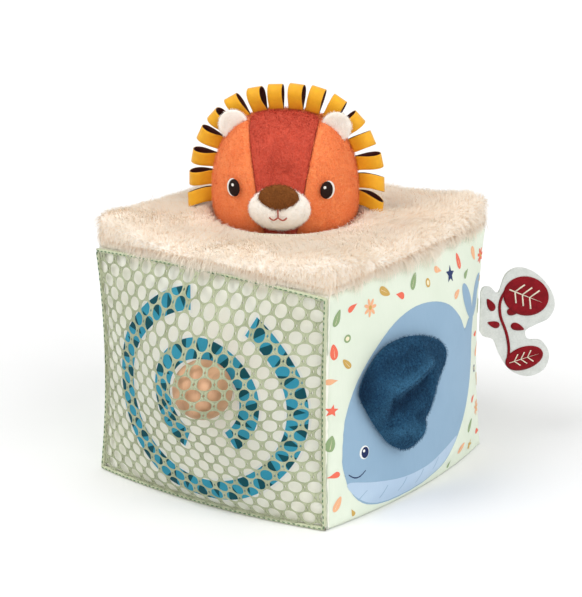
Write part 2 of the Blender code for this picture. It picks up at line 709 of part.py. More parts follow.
def flap():
    lining_start = 2 * GAP
    film_start = lining_start + LINING_THICKNESS + GAP
    front_start = film_start + FILM_THICKNESS + GAP
    flap_layer("flap_lining", "ivory_cotton", 0, lining_start, lambda share: LINING_THICKNESS)
    flap_layer("flap_crinkle_film", "crinkle_film", FILM_MARGIN, film_start, lambda share: FILM_THICKNESS)
    flap_layer("flap_front", "blue_plush", 0, front_start,
               lambda share: FLAP_PUFF * math.sqrt(1.02 - share**4) - FLAP_DISH * (1 - share**2) ** 2)


def flat_outline(name, points, thickness, finish, depth):
    # A flat shape standing out of the corner seam, thick along the seam's other diagonal
    curve = bpy.data.curves.new(name, "CURVE")
    curve.dimensions = "2D"
    curve.fill_mode = "BOTH"
    curve.extrude = thickness / 2
    spline = curve.splines.new("POLY")
    spline.points.add(len(points) - 1)
    spline.use_cyclic_u = True
    for point, (reach, up) in zip(spline.points, points):
        point.co = (reach, up, 0, 1)
    obj = place(bpy.data.objects.new(name, curve), finish, tag_seam)
    obj.rotation_euler = (math.radians(90), 0, 0)
    obj.location = (-TAG_FELT / 2, depth, 0)
    weld = obj.modifiers.new("caps", "WELD")
    weld.merge_threshold = MERGE


def tag():
    felt = [closed_curve(TAG_OUTLINE_SHARES, k / (2 * len(TAG_OUTLINE_SHARES)))
            for k in range(2 * len(TAG_OUTLINE_SHARES))]
    felt = [(max(0, p.x) * TAG_REACH, p.y * TAG_TALL) for p in felt]
    flat_outline("tag_felt", felt, TAG_FELT, "white_felt", 0)
    depth = (TAG_FELT + TAG_MOTIF) / 2 + GAP
    for number, (reach, up, long, tall, tilt) in enumerate(TAG_LEAF_SHARES, 1):
        lean = math.radians(tilt)
        leaf = []
        for k in range(TAG_LEAF_POINTS):
            a = 2 * math.pi * k / TAG_LEAF_POINTS
            along, aside = long * TAG_REACH * math.cos(a), tall * TAG_TALL * math.sin(a)
            leaf.append((reach * TAG_REACH + along * math.cos(lean) - aside * math.sin(lean),
                         up * TAG_TALL + along * math.sin(lean) + aside * math.cos(lean)))
        flat_outline(f"tag_leaf_front_{number}", leaf, TAG_MOTIF, "dark_red_felt", -depth)
        flat_outline(f"tag_leaf_back_{number}", leaf, TAG_MOTIF, "dark_red_felt", depth)


for old in list(bpy.data.objects):
    bpy.data.objects.remove(old)
model = bpy.data.collections.new("activity_cube")
cutters = bpy.data.collections.new("cutters")
for collection in (model, cutters):
    bpy.context.scene.collection.children.link(collection)
materials = {name: new_material(name) for name in FINISHES}

side_panel("net_side_panel", "ivory_cotton", 0)
side_panel("flap_side_panel", "mint_cotton", 1)
side_panel("rear_panel", "mint_cotton", 2)
side_panel("left_panel", "mint_cotton", 3)
base_panel()
pocket_space = pocket_cutter()
cut(foam_core(), pocket_space)
cut(fur_top(), pocket_space)
pocket_liner()

tether = empty("tether", (POCKET_ACROSS, POCKET_DEPTH, 0))
lion = empty("lion", (0, 0, HEAD_HEIGHT), math.radians(HEAD_TURN), tether)
head_inside = cutter("head_inside", head_shape(-HEAD_SKIN), lion)
piece("head_stuffing", head_shape(-HEAD_SKIN - GAP), "foam", lion)
head_panels()
lion_body(lion_face())
mane()
tether_ribbon()

loose_ball()
play_net()
net_binding()

flap_top = FLAP_HEIGHT + FLAP_HALF_HEIGHT
fold_line = (cloth_reach(FLAP_ACROSS, flap_top) + HINGE_STAND, FLAP_ACROSS, flap_top)
flap_hinge = empty("flap_hinge", fold_line)
flap()

corner = SIDE / 2 - PINCH * sag_share(TAG_BOTTOM + TAG_TALL * TAG_ROOT_TOP_SHARE)
corner += (TAG_CLEARANCE + TAG_FELT / 2) * math.cos(math.radians(45))
tag_seam = empty("tag_seam", (corner, corner, TAG_BOTTOM), math.radians(45))
tag()
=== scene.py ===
import math

import bmesh
import bpy
import numpy as np
from mathutils import Matrix, Vector


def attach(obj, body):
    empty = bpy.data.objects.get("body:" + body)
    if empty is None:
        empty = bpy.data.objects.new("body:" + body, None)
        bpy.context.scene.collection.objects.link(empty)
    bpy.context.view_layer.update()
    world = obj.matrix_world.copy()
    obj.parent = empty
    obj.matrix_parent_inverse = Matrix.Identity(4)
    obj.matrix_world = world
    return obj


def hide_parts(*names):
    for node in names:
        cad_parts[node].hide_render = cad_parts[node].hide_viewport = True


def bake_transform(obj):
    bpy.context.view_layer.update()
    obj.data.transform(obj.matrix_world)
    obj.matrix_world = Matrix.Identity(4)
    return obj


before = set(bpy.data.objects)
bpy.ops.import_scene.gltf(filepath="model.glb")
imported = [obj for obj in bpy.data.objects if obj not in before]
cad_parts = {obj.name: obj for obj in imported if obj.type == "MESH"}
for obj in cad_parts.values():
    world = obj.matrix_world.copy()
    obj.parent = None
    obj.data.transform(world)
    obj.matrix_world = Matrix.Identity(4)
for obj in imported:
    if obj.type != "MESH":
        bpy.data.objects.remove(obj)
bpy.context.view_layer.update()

mm = 0.001

# Soft activity cube. Lengths are in metres, and every size that the CAD also has is repeated from it.


# Helpers that every piece uses
def smoothStep(low, high, value):
    t = np.clip((value - low) / (high - low), 0, 1)
    return t * t * (3 - 2 * t)


def unit(vectors):
    return vectors / np.maximum(np.linalg.norm(vectors, axis=-1, keepdims=True), 1e-12)


def linear(hexColour):
    # Written colour, such as f5703a, to the linear values Blender's sockets take
    parts = [int(hexColour[i:i + 2], 16) / 255 for i in (0, 2, 4)]
    return tuple(p / 12.92 if p <= 0.04045 else ((p + 0.055) / 1.055) ** 2.4 for p in parts) + (1,)


def turned(points, matrix):
    # Points of shape (..., 3) through a 4 x 4 matrix
    m = np.array(matrix)
    return np.asarray(points) @ m[:3, :3].T + m[:3, 3]


def linkPiece(name, mesh, materials):
    for material in materials:
        mesh.materials.append(material)
    piece = bpy.data.objects.new(name, mesh)
    bpy.context.scene.collection.objects.link(piece)
    return piece


def meshFrom(name, points, faces, smooth=True):
    # Mesh from an array of points and a list of face arrays, each with one corner count
    mesh = bpy.data.meshes.new(name)
    groups = [np.asarray(g, dtype=np.int32) for g in faces]
    corners = np.concatenate([g.ravel() for g in groups])
    counts = np.concatenate([np.full(len(g), g.shape[1], dtype=np.int32) for g in groups])
    starts = np.concatenate([[0], np.cumsum(counts)[:-1]]).astype(np.int32)
    mesh.vertices.add(len(points))
    mesh.vertices.foreach_set("co", np.asarray(points, dtype=np.float32).ravel())
    mesh.loops.add(len(corners))
    mesh.loops.foreach_set("vertex_index", corners)
    mesh.polygons.add(len(counts))
    mesh.polygons.foreach_set("loop_start", starts)
    mesh.update(calc_edges=True)
    if smooth:
        mesh.shade_smooth()
    return mesh


def meshOf(name, bm):
    mesh = bpy.data.meshes.new(name)
    bm.to_mesh(mesh)
    bm.free()
    return mesh


def meshPoints(mesh, which="co"):
    # Places of a mesh's points, or their normals
    points = np.empty(len(mesh.vertices) * 3, dtype=np.float32)
    mesh.vertices.foreach_get(which, points)
    return points.reshape(-1, 3).astype(float)


def pointValues(mesh, name, values):
    # One number for each point, which a material reads by this name
    values = np.asarray(values, dtype=np.float32).ravel()
    mesh.attributes.new(name, "FLOAT", "POINT").data.foreach_set("value", values)


def roundTurn(count):
    return np.linspace(0, 2 * math.pi, count, endpoint=False)


def gridFaces(rows, columns, offset=0, closed=False, flip=False):
    # Four-sided faces of a grid of points stored row by row; closed joins each row's ends
    r, c = np.meshgrid(np.arange(rows - 1), np.arange(columns if closed else columns - 1), indexing="ij")
    right = (c + 1) % columns
    corners = [r * columns + c, r * columns + right, (r + 1) * columns + right, (r + 1) * columns + c]
    quads = np.stack(corners, -1).reshape(-1, 4) + offset
    return quads[:, ::-1] if flip else quads


def ringFaces(rows, columns, offset=0):
    # The same for a grid that also closes from its last row to its first
    index = offset + np.arange(rows * columns).reshape(rows, columns)
    after = np.roll(index, -1, 0)
    return np.stack([index, np.roll(index, -1, 1), np.roll(after, -1, 1), after], -1).reshape(-1, 4)


def roundPoints(rows, columns):
    # Points of a ball of radius 1, row by row from its foot
    t, a = np.meshgrid(np.linspace(-math.pi / 2, math.pi / 2, rows), roundTurn(columns), indexing="ij")
    return np.stack([np.cos(t) * np.cos(a), np.cos(t) * np.sin(a), np.sin(t)], -1).reshape(-1, 3)


def ovalPoints(across, up, wide, tall, tilt=0.0, steps=28):
    c, s = math.cos(math.radians(tilt)), math.sin(math.radians(tilt))
    return [(across + wide * math.cos(t) * c - tall * math.sin(t) * s,
             up + wide * math.cos(t) * s + tall * math.sin(t) * c) for t in roundTurn(steps)]


def cutFace(outline, grain, onGrid=False):
    # A flat face with this outline, cut up finely enough to be bent
    bm = bmesh.new()
    bm.faces.new([bm.verts.new((a, b, 0)) for a, b in outline])
    for axis in (0, 1):
        low, high = min(v.co[axis] for v in bm.verts), max(v.co[axis] for v in bm.verts)
        cuts = np.arange(math.ceil(low / grain) * grain, high, grain) if onGrid else np.arange(low, high,
                grain)[1:]
        for cut in cuts:
            where, normal = Vector(), Vector()
            where[axis], normal[axis] = cut, 1
            whole = bm.verts[:] + bm.edges[:] + bm.faces[:]
            bmesh.ops.bisect_plane(bm, geom=whole, plane_co=where, plane_no=normal)
    return bm


def setCloth(mesh, coordinates):
    # Real-size cloth coordinates, one pair for each point, for weaves and stitches
    layer = mesh.uv_layers.new(name="cloth")
    corner = np.empty(len(mesh.loops), dtype=np.int32)
    mesh.loops.foreach_get("vertex_index", corner)
    layer.data.foreach_set("uv", np.asarray(coordinates, dtype=np.float32)[corner].ravel())


def slabMesh(name, front, back, cloth=None):
    # Closed cloth between two grids of points of the same shape, front face outwards
    rows, columns = front.shape[:2]
    count = rows * columns
    index = np.arange(count).reshape(rows, columns)
    rim = np.concatenate([index[0, :-1], index[:-1, -1], index[-1, :0:-1], index[:0:-1, 0]])
    after = np.roll(rim, -1)
    sides = np.stack([rim, rim + count, after + count, after], -1)
    faces = [gridFaces(rows, columns), gridFaces(rows, columns, count, flip=True), sides]
    mesh = meshFrom(name, np.concatenate([front.reshape(-1, 3), back.reshape(-1, 3)]), faces)
    if cloth is not None:
        flat = cloth.reshape(-1, 2)
        setCloth(mesh, np.concatenate([flat, flat]))
    return mesh


def closedCurve(points, share):
    # Smooth closed line through the points; share runs from 0 to 1 once round
    count = len(points)
    placeOn = (share % 1) * count
    i = int(placeOn) % count
    t = placeOn - int(placeOn)
    a, b, c, d = (Vector(points[(i + k) % count]) for k in (-1, 0, 1, 2))
    return ((b * 2) + (c - a) * t + (a * 2 - b * 5 + c * 4 - d) * t**2 + (b * 3 - a - c * 3 + d) * t**3) / 2


def tidyFaces(mesh, merge=True):
    # Drops doubled points and faces without area
    bm = bmesh.new()
    bm.from_mesh(mesh)
    if merge:
        bmesh.ops.remove_doubles(bm, verts=bm.verts, dist=0.01 * mm)
    bmesh.ops.dissolve_degenerate(bm, edges=bm.edges, dist=0.01 * mm)
    bmesh.ops.recalc_face_normals(bm, faces=bm.faces)
    bm.to_mesh(mesh)
    bm.free()
    mesh.shade_smooth()
    return mesh


def tubeMesh(name, path, radius, sides=8, closed=False):
    # Round thread along a path of points
    path = np.asarray(path, dtype=float)
    along = unit(np.roll(path, -1, 0) - np.roll(path, 1, 0) if closed else np.gradient(path, axis=0))
    guide = np.where(np.abs(along[:, 2:3]) > 0.9, np.array([[1.0, 0, 0]]), np.array([[0, 0, 1.0]]))
    across = unit(np.cross(along, guide))
    third = np.cross(along, across)
    turn = roundTurn(sides)[None, :, None]
    ring = across[:, None] * np.cos(turn) + third[:, None] * np.sin(turn)
    points = (path[:, None] + ring * np.broadcast_to(radius, len(path))[:, None, None]).reshape(-1, 3)
    if closed:
        return meshFrom(name, points, [ringFaces(len(path), sides)[:, ::-1]])
    first = np.arange(sides)[None]
    caps = [first, (first + (len(path) - 1) * sides)[:, ::-1]]
    return meshFrom(name, points, [gridFaces(len(path), sides, closed=True, flip=True)] + caps)


def joined(name, meshes):
    # One mesh from several; a number that comes with a mesh is its material's
    bm = bmesh.new()
    for number, mesh in meshes:
        before = len(bm.faces)
        bm.from_mesh(mesh)
        bm.faces.ensure_lookup_table()
        if number is not None:
            for face in bm.faces[before:]:
                face.material_index = number
        bpy.data.meshes.remove(mesh)
    made = meshOf(name, bm)
    made.shade_smooth()
    return made


# Materials, built from nodes
def newMaterial(name, colour, roughness=0.9, sheen=0.0, sheenRoughness=0.4, sheenTint="ffffff", specular=0.3):
    material = bpy.data.materials.new(name)
    material.use_nodes = True
    finish = {"Base Color": colour, "Roughness": roughness, "Specular IOR Level": specular,
            "Sheen Weight": sheen,
              "Sheen Roughness": sheenRoughness, "Sheen Tint": sheenTint}
    for socket, value in finish.items():
        feed(material, shaderOf(material).inputs[socket], value)
    material.diffuse_color = linear(colour)
    return material


def shaderOf(material):
    return material.node_tree.nodes["Principled BSDF"]


def feed(holder, target, value):
    # Links a socket to an input, or sets a number, a vector or a written colour on it
    if isinstance(value, bpy.types.NodeSocket):
        holder.node_tree.links.new(value, target)
    else:
        target.default_value = linear(value) if isinstance(value, str) else value


def addNode(holder, kind, **values):
    # New node; a value named after an input feeds that input, and any other sets a property
    node = holder.node_tree.nodes.new(kind)
    for name, value in values.items():
        if name in node.inputs:
            feed(holder, node.inputs[name], value)
        else:
            setattr(node, name, value)
    return node


def valueOf(material, name):
    # What pointValues wrote on the mesh
    return addNode(material, "ShaderNodeAttribute", attribute_name=name).outputs["Fac"]


def clothPlace(material, scale=(1, 1, 1), turn=0.0, source="cloth"):
    # Vector output in metres times scale, from the cloth coordinates or the piece's own space
    if source == "cloth":
        place = addNode(material, "ShaderNodeUVMap", uv_map="cloth").outputs["UV"]
    else:
        place = addNode(material, "ShaderNodeTexCoord").outputs["Object"]
    mapping = addNode(material, "ShaderNodeMapping", Vector=place, Scale=scale, Rotation=(0, 0, turn))
    return mapping.outputs["Vector"]


def noiseOn(material, vector, scale, detail=3.0, roughness=0.6):
    look = {"Vector": vector, "Scale": scale, "Detail": detail, "Roughness": roughness}
    return addNode(material, "ShaderNodeTexNoise", **look).outputs["Fac"]


def rampOn(material, value, low, high):
    # Stretches a value from low..high to 0..1, smoothly
    ends = {"Value": value, "From Min": low, "From Max": high}
    return addNode(material, "ShaderNodeMapRange", interpolation_type="SMOOTHSTEP", **ends).outputs["Result"]


def mixOn(material, factor, first, second):
    # Mix of two colours, each a written colour or a socket
    mix = addNode(material, "ShaderNodeMix", data_type="RGBA")
    for number, value in ((0, factor), (6, first), (7, second)):
        feed(material, mix.inputs[number], value)
    return mix.outputs[2]


def mathOn(material, operation, first, second):
    node = addNode(material, "ShaderNodeMath", operation=operation)
    feed(material, node.inputs[0], first)
    feed(material, node.inputs[1], second)
    return node.outputs[0]


def partly(material, value, share):
    return mathOn(material, "MULTIPLY", value, share)


def waveOn(material, vector, direction, perMetre):
    # Bands that repeat perMetre times a metre
    look = {"bands_direction": direction, "wave_profile": "SIN", "Scale": perMetre / 20 * 2 * math.pi}
    return addNode(material, "ShaderNodeTexWave", Vector=vector, **look).outputs["Fac"]


def setColour(material, socket):
    feed(material, shaderOf(material).inputs["Base Color"], socket)


def addBump(material, height, strength, distance):
    bump = addNode(material, "ShaderNodeBump", Height=height, Strength=strength, Distance=distance)
    feed(material, shaderOf(material).inputs["Normal"], bump.outputs["Normal"])


def cottonMaterial(name, colour, shade, threads=1900, weave=0.35, source="cloth", specular=0.25):
    # Plain-woven cotton: crossing threads, slubs and a soft change of tone
    material = newMaterial(name, colour, roughness=0.88, sheen=0.08, specular=specular)
    place = clothPlace(material, source=source)
    tone = rampOn(material, noiseOn(material, place, 24, 3), 0.35, 0.7)
    slub = noiseOn(material, clothPlace(material, (1, 0.08, 1), source=source), 1100, 2)
    slub = rampOn(material, slub, 0.3, 0.75)
    body = mixOn(material, partly(material, tone, 0.6), colour, shade)
    setColour(material, mixOn(material, partly(material, slub, 0.25), body, shade))
    warp = waveOn(material, place, "X", threads)
    weft = waveOn(material, place, "Y" if source == "cloth" else "Z", threads)
    cross = mathOn(material, "MULTIPLY", warp, weft)
    addBump(material, mathOn(material, "ADD", cross, partly(material, slub, 0.6)), weave, 0.12 * mm)
    return material


def printMaterial(name, colour, shade):
    # Ink on the same cotton, a little uneven
    return cottonMaterial(name, colour, shade, weave=0.3, specular=0.3)


def plushMaterial(name, colour, shade, tip, sheen=0.2, sheenRoughness=0.35, scale=900, bump=0.5):
    # Short pile seen from outside: broad patches that differ at random, and a fine speckle of painted shade between the
    # hairs and painted highlight where they lie over
    material = newMaterial(name, colour, roughness=0.95, sheen=sheen, sheenRoughness=sheenRoughness,
                           sheenTint=tip, specular=0.15)
    place = clothPlace(material, source="object")
    nap = rampOn(material, noiseOn(material, place, 70, 3), 0.35, 0.68)
    hairs = rampOn(material, noiseOn(material, place, scale, 2, 0.7), 0.3, 0.72)
    body = mixOn(material, partly(material, nap, 0.55), colour, shade)
    setColour(material, mixOn(material, partly(material, hairs, 0.4), body, tip))
    addBump(material, hairs, 0.6, bump * mm)
    return material


def threadMaterial(name, colour, shade, scale, bump, depth, bands=None, source="object", **finish):
    # Thread or tape: fine bands across it, or else a twist of fibres
    material = newMaterial(name, colour, **finish)
    place = clothPlace(material, source=source)
    grain = waveOn(material, place, bands, scale) if bands else noiseOn(material, place, scale, 2)
    setColour(material, mixOn(material, grain, colour, shade))
    addBump(material, grain, bump, depth)
    return material


def mixShaders(holder, factor, first, second):
    both = addNode(holder, "ShaderNodeMixShader")
    for socket, value in zip(both.inputs, (factor, first.outputs[0], second.outputs[0])):
        feed(holder, socket, value)
    return both.outputs[0]


def letThrough(material, colour, share):
    # Part of the light goes through the yarn
    glow = addNode(material, "ShaderNodeBsdfTranslucent", Color=colour)
    both = mixShaders(material, share, shaderOf(material), glow)
    feed(material, material.node_tree.nodes["Material Output"].inputs["Surface"], both)


def pileMaterial(name, root, body, tip, sheen=0.15, through=0.15, specular=0.15):
    # Single hairs: the "shade" value runs along each hair, from a darker root colour, painted shade deep in the pile,
    # to a lighter tip colour, a painted highlight; "tone" differs from hair to hair
    material = newMaterial(name, body, roughness=0.8, sheen=sheen, sheenTint=tip, specular=specular)
    along = valueOf(material, "shade")
    low = mixOn(material, rampOn(material, along, 0.0, 0.6), root, body)
    colour = mixOn(material, mathOn(material, "MULTIPLY", valueOf(material, "tone"), along), low, tip)
    setColour(material, colour)
    letThrough(material, colour, through)
    return material


# Hairs, as fine tapered ribbons
def sampleMesh(mesh, count, random, keep=None):
    # Even random places on a mesh's faces, with their smooth normals; keep picks points
    mesh.calc_loop_triangles()
    tris = np.empty(len(mesh.loop_triangles) * 3, dtype=np.int32)
    mesh.loop_triangles.foreach_get("vertices", tris)
    tris = tris.reshape(-1, 3)
    corners = meshPoints(mesh)[tris]
    area = np.linalg.norm(np.cross(corners[:, 1] - corners[:, 0], corners[:, 2] - corners[:, 0]), axis=1) / 2
    picked = np.searchsorted(np.cumsum(area), random.random(count) * area.sum())
    picked = np.minimum(picked, len(tris) - 1)
    a, b = random.random(count), random.random(count)
    over = a + b > 1
    a[over], b[over] = 1 - a[over], 1 - b[over]
    weights = np.stack([1 - a - b, a, b], 1)[:, :, None]
    places = (corners[picked] * weights).sum(1)
    outward = unit((meshPoints(mesh, "normal")[tris[picked]] * weights).sum(1))
    if keep is not None:
        chosen = keep(places, outward)
        places, outward = places[chosen], outward[chosen]
    return places, outward


def tuftTips(places, size, random):
    # Middle of the tuft each root belongs to, on a jittered lattice
    low = places.min(0) - size
    cell = np.floor((places - low) / size).astype(int)
    shape = cell.max(0) + 3
    jitter = random.random((shape[0], shape[1], shape[2], 3))
    best = np.full(len(places), np.inf)
    middle = np.zeros_like(places)
    for dx in (-1, 0, 1):
        for dy in (-1, 0, 1):
            for dz in (-1, 0, 1):
                near = cell + (dx, dy, dz)
                inside = np.clip(near, 0, shape - 1)
                there = low + (near + jitter[inside[:, 0], inside[:, 1], inside[:, 2]]) * size
                away = np.linalg.norm(there - places, axis=1)
                closer = away < best
                best[closer] = away[closer]
                middle[closer] = there[closer]
    return middle


def hairMesh(name, places, outward, lean, length, width, random, steps=3, tuft=0.0, tuftSize=4 * mm,
             wobble=0.0, drop=0.0, softness=0.35, tuftShade=0.5, tone=None):
    # Hairs as tapered ribbons that face outwards; lean is a vector along the cloth, about 0 to 1 long
    count = len(places)
    length = np.broadcast_to(length, count)[:, None]
    level = np.linspace(0, 1, steps + 1)[None, :, None]
    rise = level - 0.42 * np.linalg.norm(lean, axis=1)[:, None, None] * level**2
    bend = lean[:, None] * (0.35 * level + 0.65 * level**2)
    path = places[:, None] + length[:, None] * (outward[:, None] * rise + bend)
    path[..., 2] -= drop * length * (level[..., 0] ** 2)
    tilt = np.zeros_like(places)
    if tuft > 0:
        middle = tuftTips(places, tuftSize, random)
        toMiddle = middle - places
        toMiddle -= outward * (toMiddle * outward).sum(1, keepdims=True)
        path += toMiddle[:, None] * tuft * level**1.5
        tilt = -toMiddle / tuftSize
    if wobble > 0:
        sway = random.normal(size=(count, 3)) * wobble
        path += sway[:, None] * level**2 * length[:, None]
    direction = unit(path[:, -1] - path[:, 0])
    side = np.cross(direction, outward)
    weak = np.linalg.norm(side, axis=1) < 0.15
    side[weak] = np.cross(direction[weak], unit(random.normal(size=(int(weak.sum()), 3))))
    side = unit(side)
    swing = (random.random(count) - 0.5)[:, None] * 0.9
    side = unit(side * np.cos(swing) + np.cross(direction, side) * np.sin(swing))
    taper = np.array([1.0, 0.85, 0.6, 0.45, 0.3])[:steps]
    half = np.broadcast_to(width, count)[:, None, None] / 2 * taper[None, :, None]
    left = path[:, :steps] - side[:, None] * half
    right = path[:, :steps] + side[:, None] * half
    strip = np.stack([left, right], 2).reshape(count, 2 * steps, 3)
    points = np.concatenate([strip, path[:, -1:]], 1)
    per = 2 * steps + 1
    base = (np.arange(count) * per)[:, None]
    quads = [base + np.array([[2 * k, 2 * k + 1, 2 * k + 3, 2 * k + 2]]) for k in range(steps - 1)]
    tips = base + np.array([[2 * steps - 2, 2 * steps - 1, 2 * steps]])
    mesh = meshFrom(name, points.reshape(-1, 3), quads + [tips])
    # Runs from 0 at the root to 1 at the tip, for the painted shade at the roots and painted highlight at the tips
    shade = np.concatenate([np.repeat(level[0, :steps, 0], 2), [1.0]])
    pointValues(mesh, "shade", np.broadcast_to(shade, (count, per)))
    pointValues(mesh, "tone", np.repeat(random.random(count) if tone is None else tone, per))
    own = unit(np.cross(side, direction))
    own *= np.sign((own * outward).sum(1, keepdims=True) + 1e-9)
    normal = unit(outward + softness * own + tuftShade * tilt)
    mesh.normals_split_custom_set_from_vertices(np.repeat(normal, per, 0).astype(np.float32).tolist())
    return mesh


# The block's form, as in the CAD
block = {
    "side": 170 * mm,
    "panelHeight": 142.5 * mm,
    "faceCrown": 13 * mm,
    "belly": 6 * mm,
    "pinch": 3 * mm,
    "topDrawn": 7 * mm,
    "footDrawn": 4 * mm,
    "footHeight": 14 * mm,
    "topArch": 4.5 * mm,
    "clothThickness": 2.2 * mm,
    "gap": 0.3 * mm,
    "pocketAcross": -4.2 * mm,
    "pocketDepth": -3.0 * mm,
}


def sagShare(z):
    return np.maximum(0, 1 - (2 * z / block["panelHeight"] - 1) ** 2)


def crownAt(z):
    # How far the middle of a side stands out; the seams at its top and foot draw it in
    drawn = block["topDrawn"] * smoothStep(90 * mm, 150 * mm, z)
    drawn = drawn + block["footDrawn"] * (1 - smoothStep(0, block["footHeight"], z))
    return block["faceCrown"] + block["belly"] * sagShare(z) - drawn


def archAt(share, z):
    # The top seam rises towards the middle of each side
    return block["topArch"] * (1 - share**2) * smoothStep(100 * mm, block["panelHeight"], z)


def blockPoint(u, v, z, inset=0.0):
    # A point of the block; u and v run from -1 to 1 across it
    u, v, z = np.broadcast_arrays(np.asarray(u, float), np.asarray(v, float), np.asarray(z, float))
    half = block["side"] / 2 - block["pinch"] * sagShare(z) - inset
    crown = crownAt(z)
    rise = archAt(np.minimum(np.abs(u), np.abs(v)), z)
    return np.stack([u * (half + crown * (1 - v * v)), v * (half + crown * (1 - u * u)), z + rise], -1)


def seamHalf(z):
    return block["side"] / 2 - block["pinch"] * sagShare(z)


def clothReach(across, z):
    half = seamHalf(z)
    return half + crownAt(z) * (1 - (across / half) ** 2)


# Soft folds of each side: where they start and end across and up, how wide and how deep, in mm
sideFolds = {
    0: [(-84, 10, -70, 30, 5, -0.8), (60, 4, 70, 16, 4, -0.7)],
    1: [(-84, 6, -62, 30, 5, -1.2), (-82, 30, -66, 44, 5, -0.8), (-80, 60, -66, 70, 6, -0.9),
        (-82, 92, -60, 96, 6, -0.8), (-70, 2, -50, 16, 5, 0.8), (30, 2, 44, 16, 6, -0.7),
        (84, 40, 66, 30, 6, -1.1), (84, 60, 64, 66, 5, -1.0), (84, 104, 62, 112, 6, -0.9),
        (-40, 141, -30, 122, 7, -0.8), (10, 141, 14, 124, 6, -0.6), (50, 141, 44, 126, 6, -0.7)],
    2: [(-84, 20, -60, 34, 6, -0.9), (84, 44, 62, 52, 6, -0.9), (0, 2, 8, 18, 6, -0.7),
            (40, 141, 34, 124, 6, -0.7)],
    3: [(84, 20, 62, 38, 6, -0.9), (-84, 90, -62, 96, 6, -0.8), (-20, 141, -14, 122, 7, -0.7),
            (20, 2, 12, 16, 6, -0.7)],
}


def clothRelief(side, across, z):
    # Puckers, folds and the drawn-in seams of a cloth side, outwards
    toSeam = seamHalf(z) - np.abs(across)
    toTop, toFloor = block["panelHeight"] - z, z
    pull = np.exp(-toSeam / (8 * mm))
    along = z / (1.7 * mm) + 2.6 * np.sin(z / (11 * mm) + side)
    relief = 0.32 * mm * pull * np.sin(along + 3 * np.sign(across))
    foot = np.exp(-toFloor / (7 * mm))
    relief += 0.28 * mm * foot * np.sin(across / (2.1 * mm) + 2.4 * np.sin(across / (14 * mm) + 2 * side))
    relief += 0.45 * mm * np.sin(across / (19 * mm) + side * 1.7) * np.sin(z / (16 * mm) + side * 2.3)
    for startAcross, startUp, endAcross, endUp, wide, deep in sideFolds[side]:
        a = np.array([startAcross, startUp]) * mm
        b = np.array([endAcross, endUp]) * mm
        d = b - a
        t = ((across - a[0]) * d[0] + (z - a[1]) * d[1]) / (d @ d)
        off = ((across - a[0]) * d[1] - (z - a[1]) * d[0]) / math.sqrt(d @ d)
        along = np.clip(1 - t, 0, 1) * smoothStep(-0.35, 0.15, t)
        relief += deep * mm * along * np.exp(-(off / (wide * mm)) ** 2)
    edge = np.minimum(np.minimum(toSeam, toFloor), toTop)
    relief *= 1 - np.exp(-(edge / (4 * mm)) ** 2)
    return relief - 1.3 * mm * np.exp(-(edge / (1.5 * mm)) ** 2)


quarterTurns = [np.array(Matrix.Rotation(math.radians(90) * k, 3, "Z")) for k in range(4)]


def sidePoint(side, across, z, lift=0.0):
    # A point on a cloth side, by its place across and up, lifted outwards
    across, z = np.broadcast_arrays(np.asarray(across, float), np.asarray(z, float))
    reach = clothReach(across, z) + clothRelief(side, across, z) + lift
    return np.stack([across, -reach, z + archAt(across / seamHalf(z), z)], -1) @ quarterTurns[side].T


def drawPanel(name, node, side, material):
    # One cotton side, with its folds, as a closed thin slab
    share = np.sin(np.linspace(-0.5, 0.5, 151) * math.pi) * 0.35 + np.linspace(-1, 1, 151) * 0.65
    up = np.linspace(block["gap"], block["panelHeight"], 125)
    u, z = np.meshgrid(share * (1 - 2 * block["gap"] / block["side"]), up)
    across = u * seamHalf(z)
    front = sidePoint(side, across, z)
    inner = blockPoint(u, -1, z, block["clothThickness"]) @ quarterTurns[side].T
    mesh = slabMesh(name, front, inner, np.stack([across, z], -1))
    panel = linkPiece(name, mesh, [material])
    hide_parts(node)
    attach(panel, "cube")


def printOn(name, side, outlines, materials):
    # Flat printed shapes laid on a cloth side: each outline is (material number, points in mm, extra lift)
    layers = []
    out = Vector(quarterTurns[side] @ np.array([0, -1, 0]))
    for number, points, extra in outlines:
        bm = cutFace([(x * mm, z * mm) for x, z in points], sides["inkGrain"], onGrid=True)
        bmesh.ops.triangulate(bm, faces=bm.faces)
        flat = np.array([v.co[:2] for v in bm.verts])
        raised = sidePoint(side, flat[:, 0], flat[:, 1], sides["inkLift"] + extra)
        for vert, place in zip(bm.verts, raised):
            vert.co = place
        cloth = bm.loops.layers.uv.new("cloth")
        bm.verts.index_update()
        for face in bm.faces:
            for loop in face.loops:
                loop[cloth].uv = flat[loop.vert.index]
            face.normal_update()
            if face.normal.dot(out) < 0:
                face.normal_flip()
        layers.append((number, meshOf(name, bm)))
    piece = linkPiece(name, joined(name, layers), materials)
    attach(piece, "cube")


# Floor, light and camera
stage = {
    "cameraPlace": (0.84537, -1.18436, 0.57633),
    "cameraAim": (-0.001686, -0.001207, 0.10353),
    "lens": 150.15,
    "worldStrength": 0.6,
    "keyFrom": (-0.35, -0.8, 1.1),
    "keySpread": 35,
    "keyStrength": 1.25,
    "fillFrom": (1.0, -0.25, 0.75),
    "fillSpread": 50,
    "fillStrength": 1.15,
    "floorSize": 3.0,
    "floorDrop": 0.2 * mm,
    "floorColour": "f0f0f0",
    "floorLight": "f6f6f6",
    "floorGlow": 0.06,
}


def addLamp(name, comesFrom, spread, strength):
    # Distant soft lamp; spread is the angle it covers in the sky
    lamp = bpy.data.lights.new(name, "SUN")
    lamp.angle = math.radians(spread)
    lamp.energy = strength
    shown = bpy.data.objects.new(name, lamp)
    bpy.context.scene.collection.objects.link(shown)
    shown.location = comesFrom
    shown.rotation_euler = (-Vector(comesFrom)).to_track_quat("-Z", "Y").to_euler()


